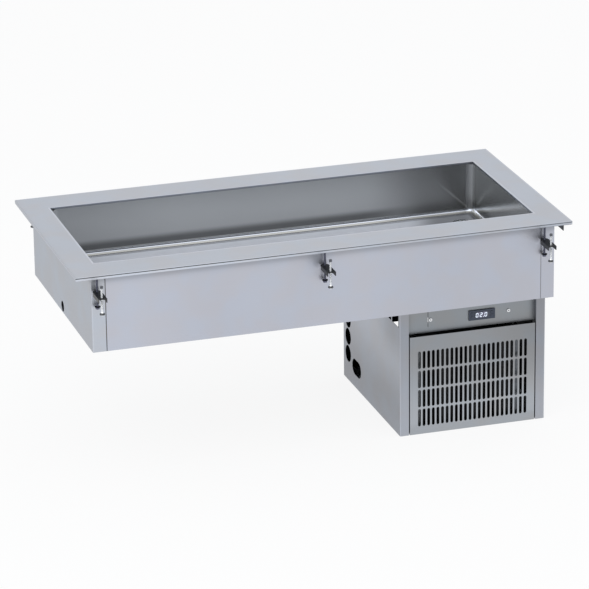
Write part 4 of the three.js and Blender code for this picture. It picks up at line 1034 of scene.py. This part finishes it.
# Name, place, aim, size and power of each lamp
LAMPS = (
    ("key", (-2.6, -2.8, 3.6), (0, 0, -0.1), 5.0, 66),
    ("fill", (3.8, -2.4, 2.4), (0.2, 0, -0.2), 5.0, 19),
    ("top", (0.0, 0.6, 3.8), (0, 0, 0), 4.5, 14),
)


def show_mixed(graph, share, first, second, output):
    """Sends a mix of two shaders to the tree's output."""
    mixed = graph.fill(graph.node("ShaderNodeMixShader"), share, first, second)
    graph.link(mixed, graph.tree.nodes[output].inputs[0])


def make_floor():
    """Pale floor that keeps the object's shadow, nearly white where it is seen or mirrored."""
    mesh = bpy.data.meshes.new("floor")
    half = FLOOR_HALF
    corners = [(-half, -half, 0), (half, -half, 0), (half, half, 0), (-half, half, 0)]
    mesh.from_pydata(corners, [], [(0, 1, 2, 3)])
    floor = bpy.data.objects.new("floor", mesh)
    floor.location.z = cad_low.z - FLOOR_DROP
    bpy.context.collection.objects.link(floor)
    finish = Finish("floor")
    clouds = finish.node("ShaderNodeTexNoise")
    clouds.inputs["Scale"].default_value = 0.8
    level = finish.remap(clouds.outputs["Fac"], 0.0, 1.0, *FLOOR_GREY)
    grey = finish.fill(finish.node("ShaderNodeCombineColor"), level, level, level)
    finish.set(Base_Color=grey, Roughness=0.9, Specular_IOR_Level=0.0)
    white = finish.node("ShaderNodeEmission")
    share = finish.math("MULTIPLY", finish.seen_directly(), FLOOR_WHITE)
    show_mixed(finish, share, finish.surface.outputs[0], white.outputs[0], "Material Output")
    floor.data.materials.append(finish.material)


def make_world():
    """White where the camera looks, a soft even light, and one unlit side of the studio in the metal."""
    world = bpy.data.worlds.new("world")
    bpy.context.scene.world = world
    world.use_nodes = True
    sky = Graph(world.node_tree)
    light = sky.tree.nodes["Background"]
    light.inputs["Color"].default_value = WORLD_TINT
    light.inputs["Strength"].default_value = WORLD_LIGHT
    split = sky.node("ShaderNodeSeparateXYZ")
    sky.link(sky.node("ShaderNodeTexCoord").outputs["Generated"], split.inputs[0])
    x, y, z = split.outputs
    towards = sky.math("ADD", sky.math("MULTIPLY", x, DARK_SIDE[0]), sky.math("MULTIPLY", y, DARK_SIDE[1]))
    unlit = sky.both(sky.remap(towards, *DARK_AHEAD, smooth=True), sky.remap(z, *DARK_ABOVE, smooth=True),
                     sky.remap(z, *DARK_TOP, 1.0, 0.0, smooth=True),
                     sky.node("ShaderNodeLightPath").outputs["Is Glossy Ray"])
    white = sky.node("ShaderNodeBackground")
    white.inputs["Color"].default_value = (1, 1, 1, 1)
    sky.link(sky.remap(unlit, 0.0, 1.0, 1.0, 1.0 - DARK_DEPTH, smooth=True), white.inputs["Strength"])
    show_mixed(sky, sky.seen_directly(), light.outputs[0], white.outputs[0], "World Output")


def make_lamp(name, place, aim, size, power):
    """A soft square lamp."""
    data = bpy.data.lights.new(name, "AREA")
    data.shape = "RECTANGLE"
    data.size = data.size_y = size
    data.energy = power
    lamp = bpy.data.objects.new(name, data)
    lamp.location = place
    lamp.rotation_mode = "QUATERNION"
    lamp.rotation_quaternion = (Vector(aim) - Vector(place)).to_track_quat("-Z", "Y")
    bpy.context.collection.objects.link(lamp)


make_camera()
dress_nodes()
make_digits()
make_screw_recesses()
make_end_plate()
make_return_bends()
make_outlet_edging()
make_floor()
make_world()
for lamp in LAMPS:
    make_lamp(*lamp)

bpy.context.scene.view_settings.view_transform = "Standard"
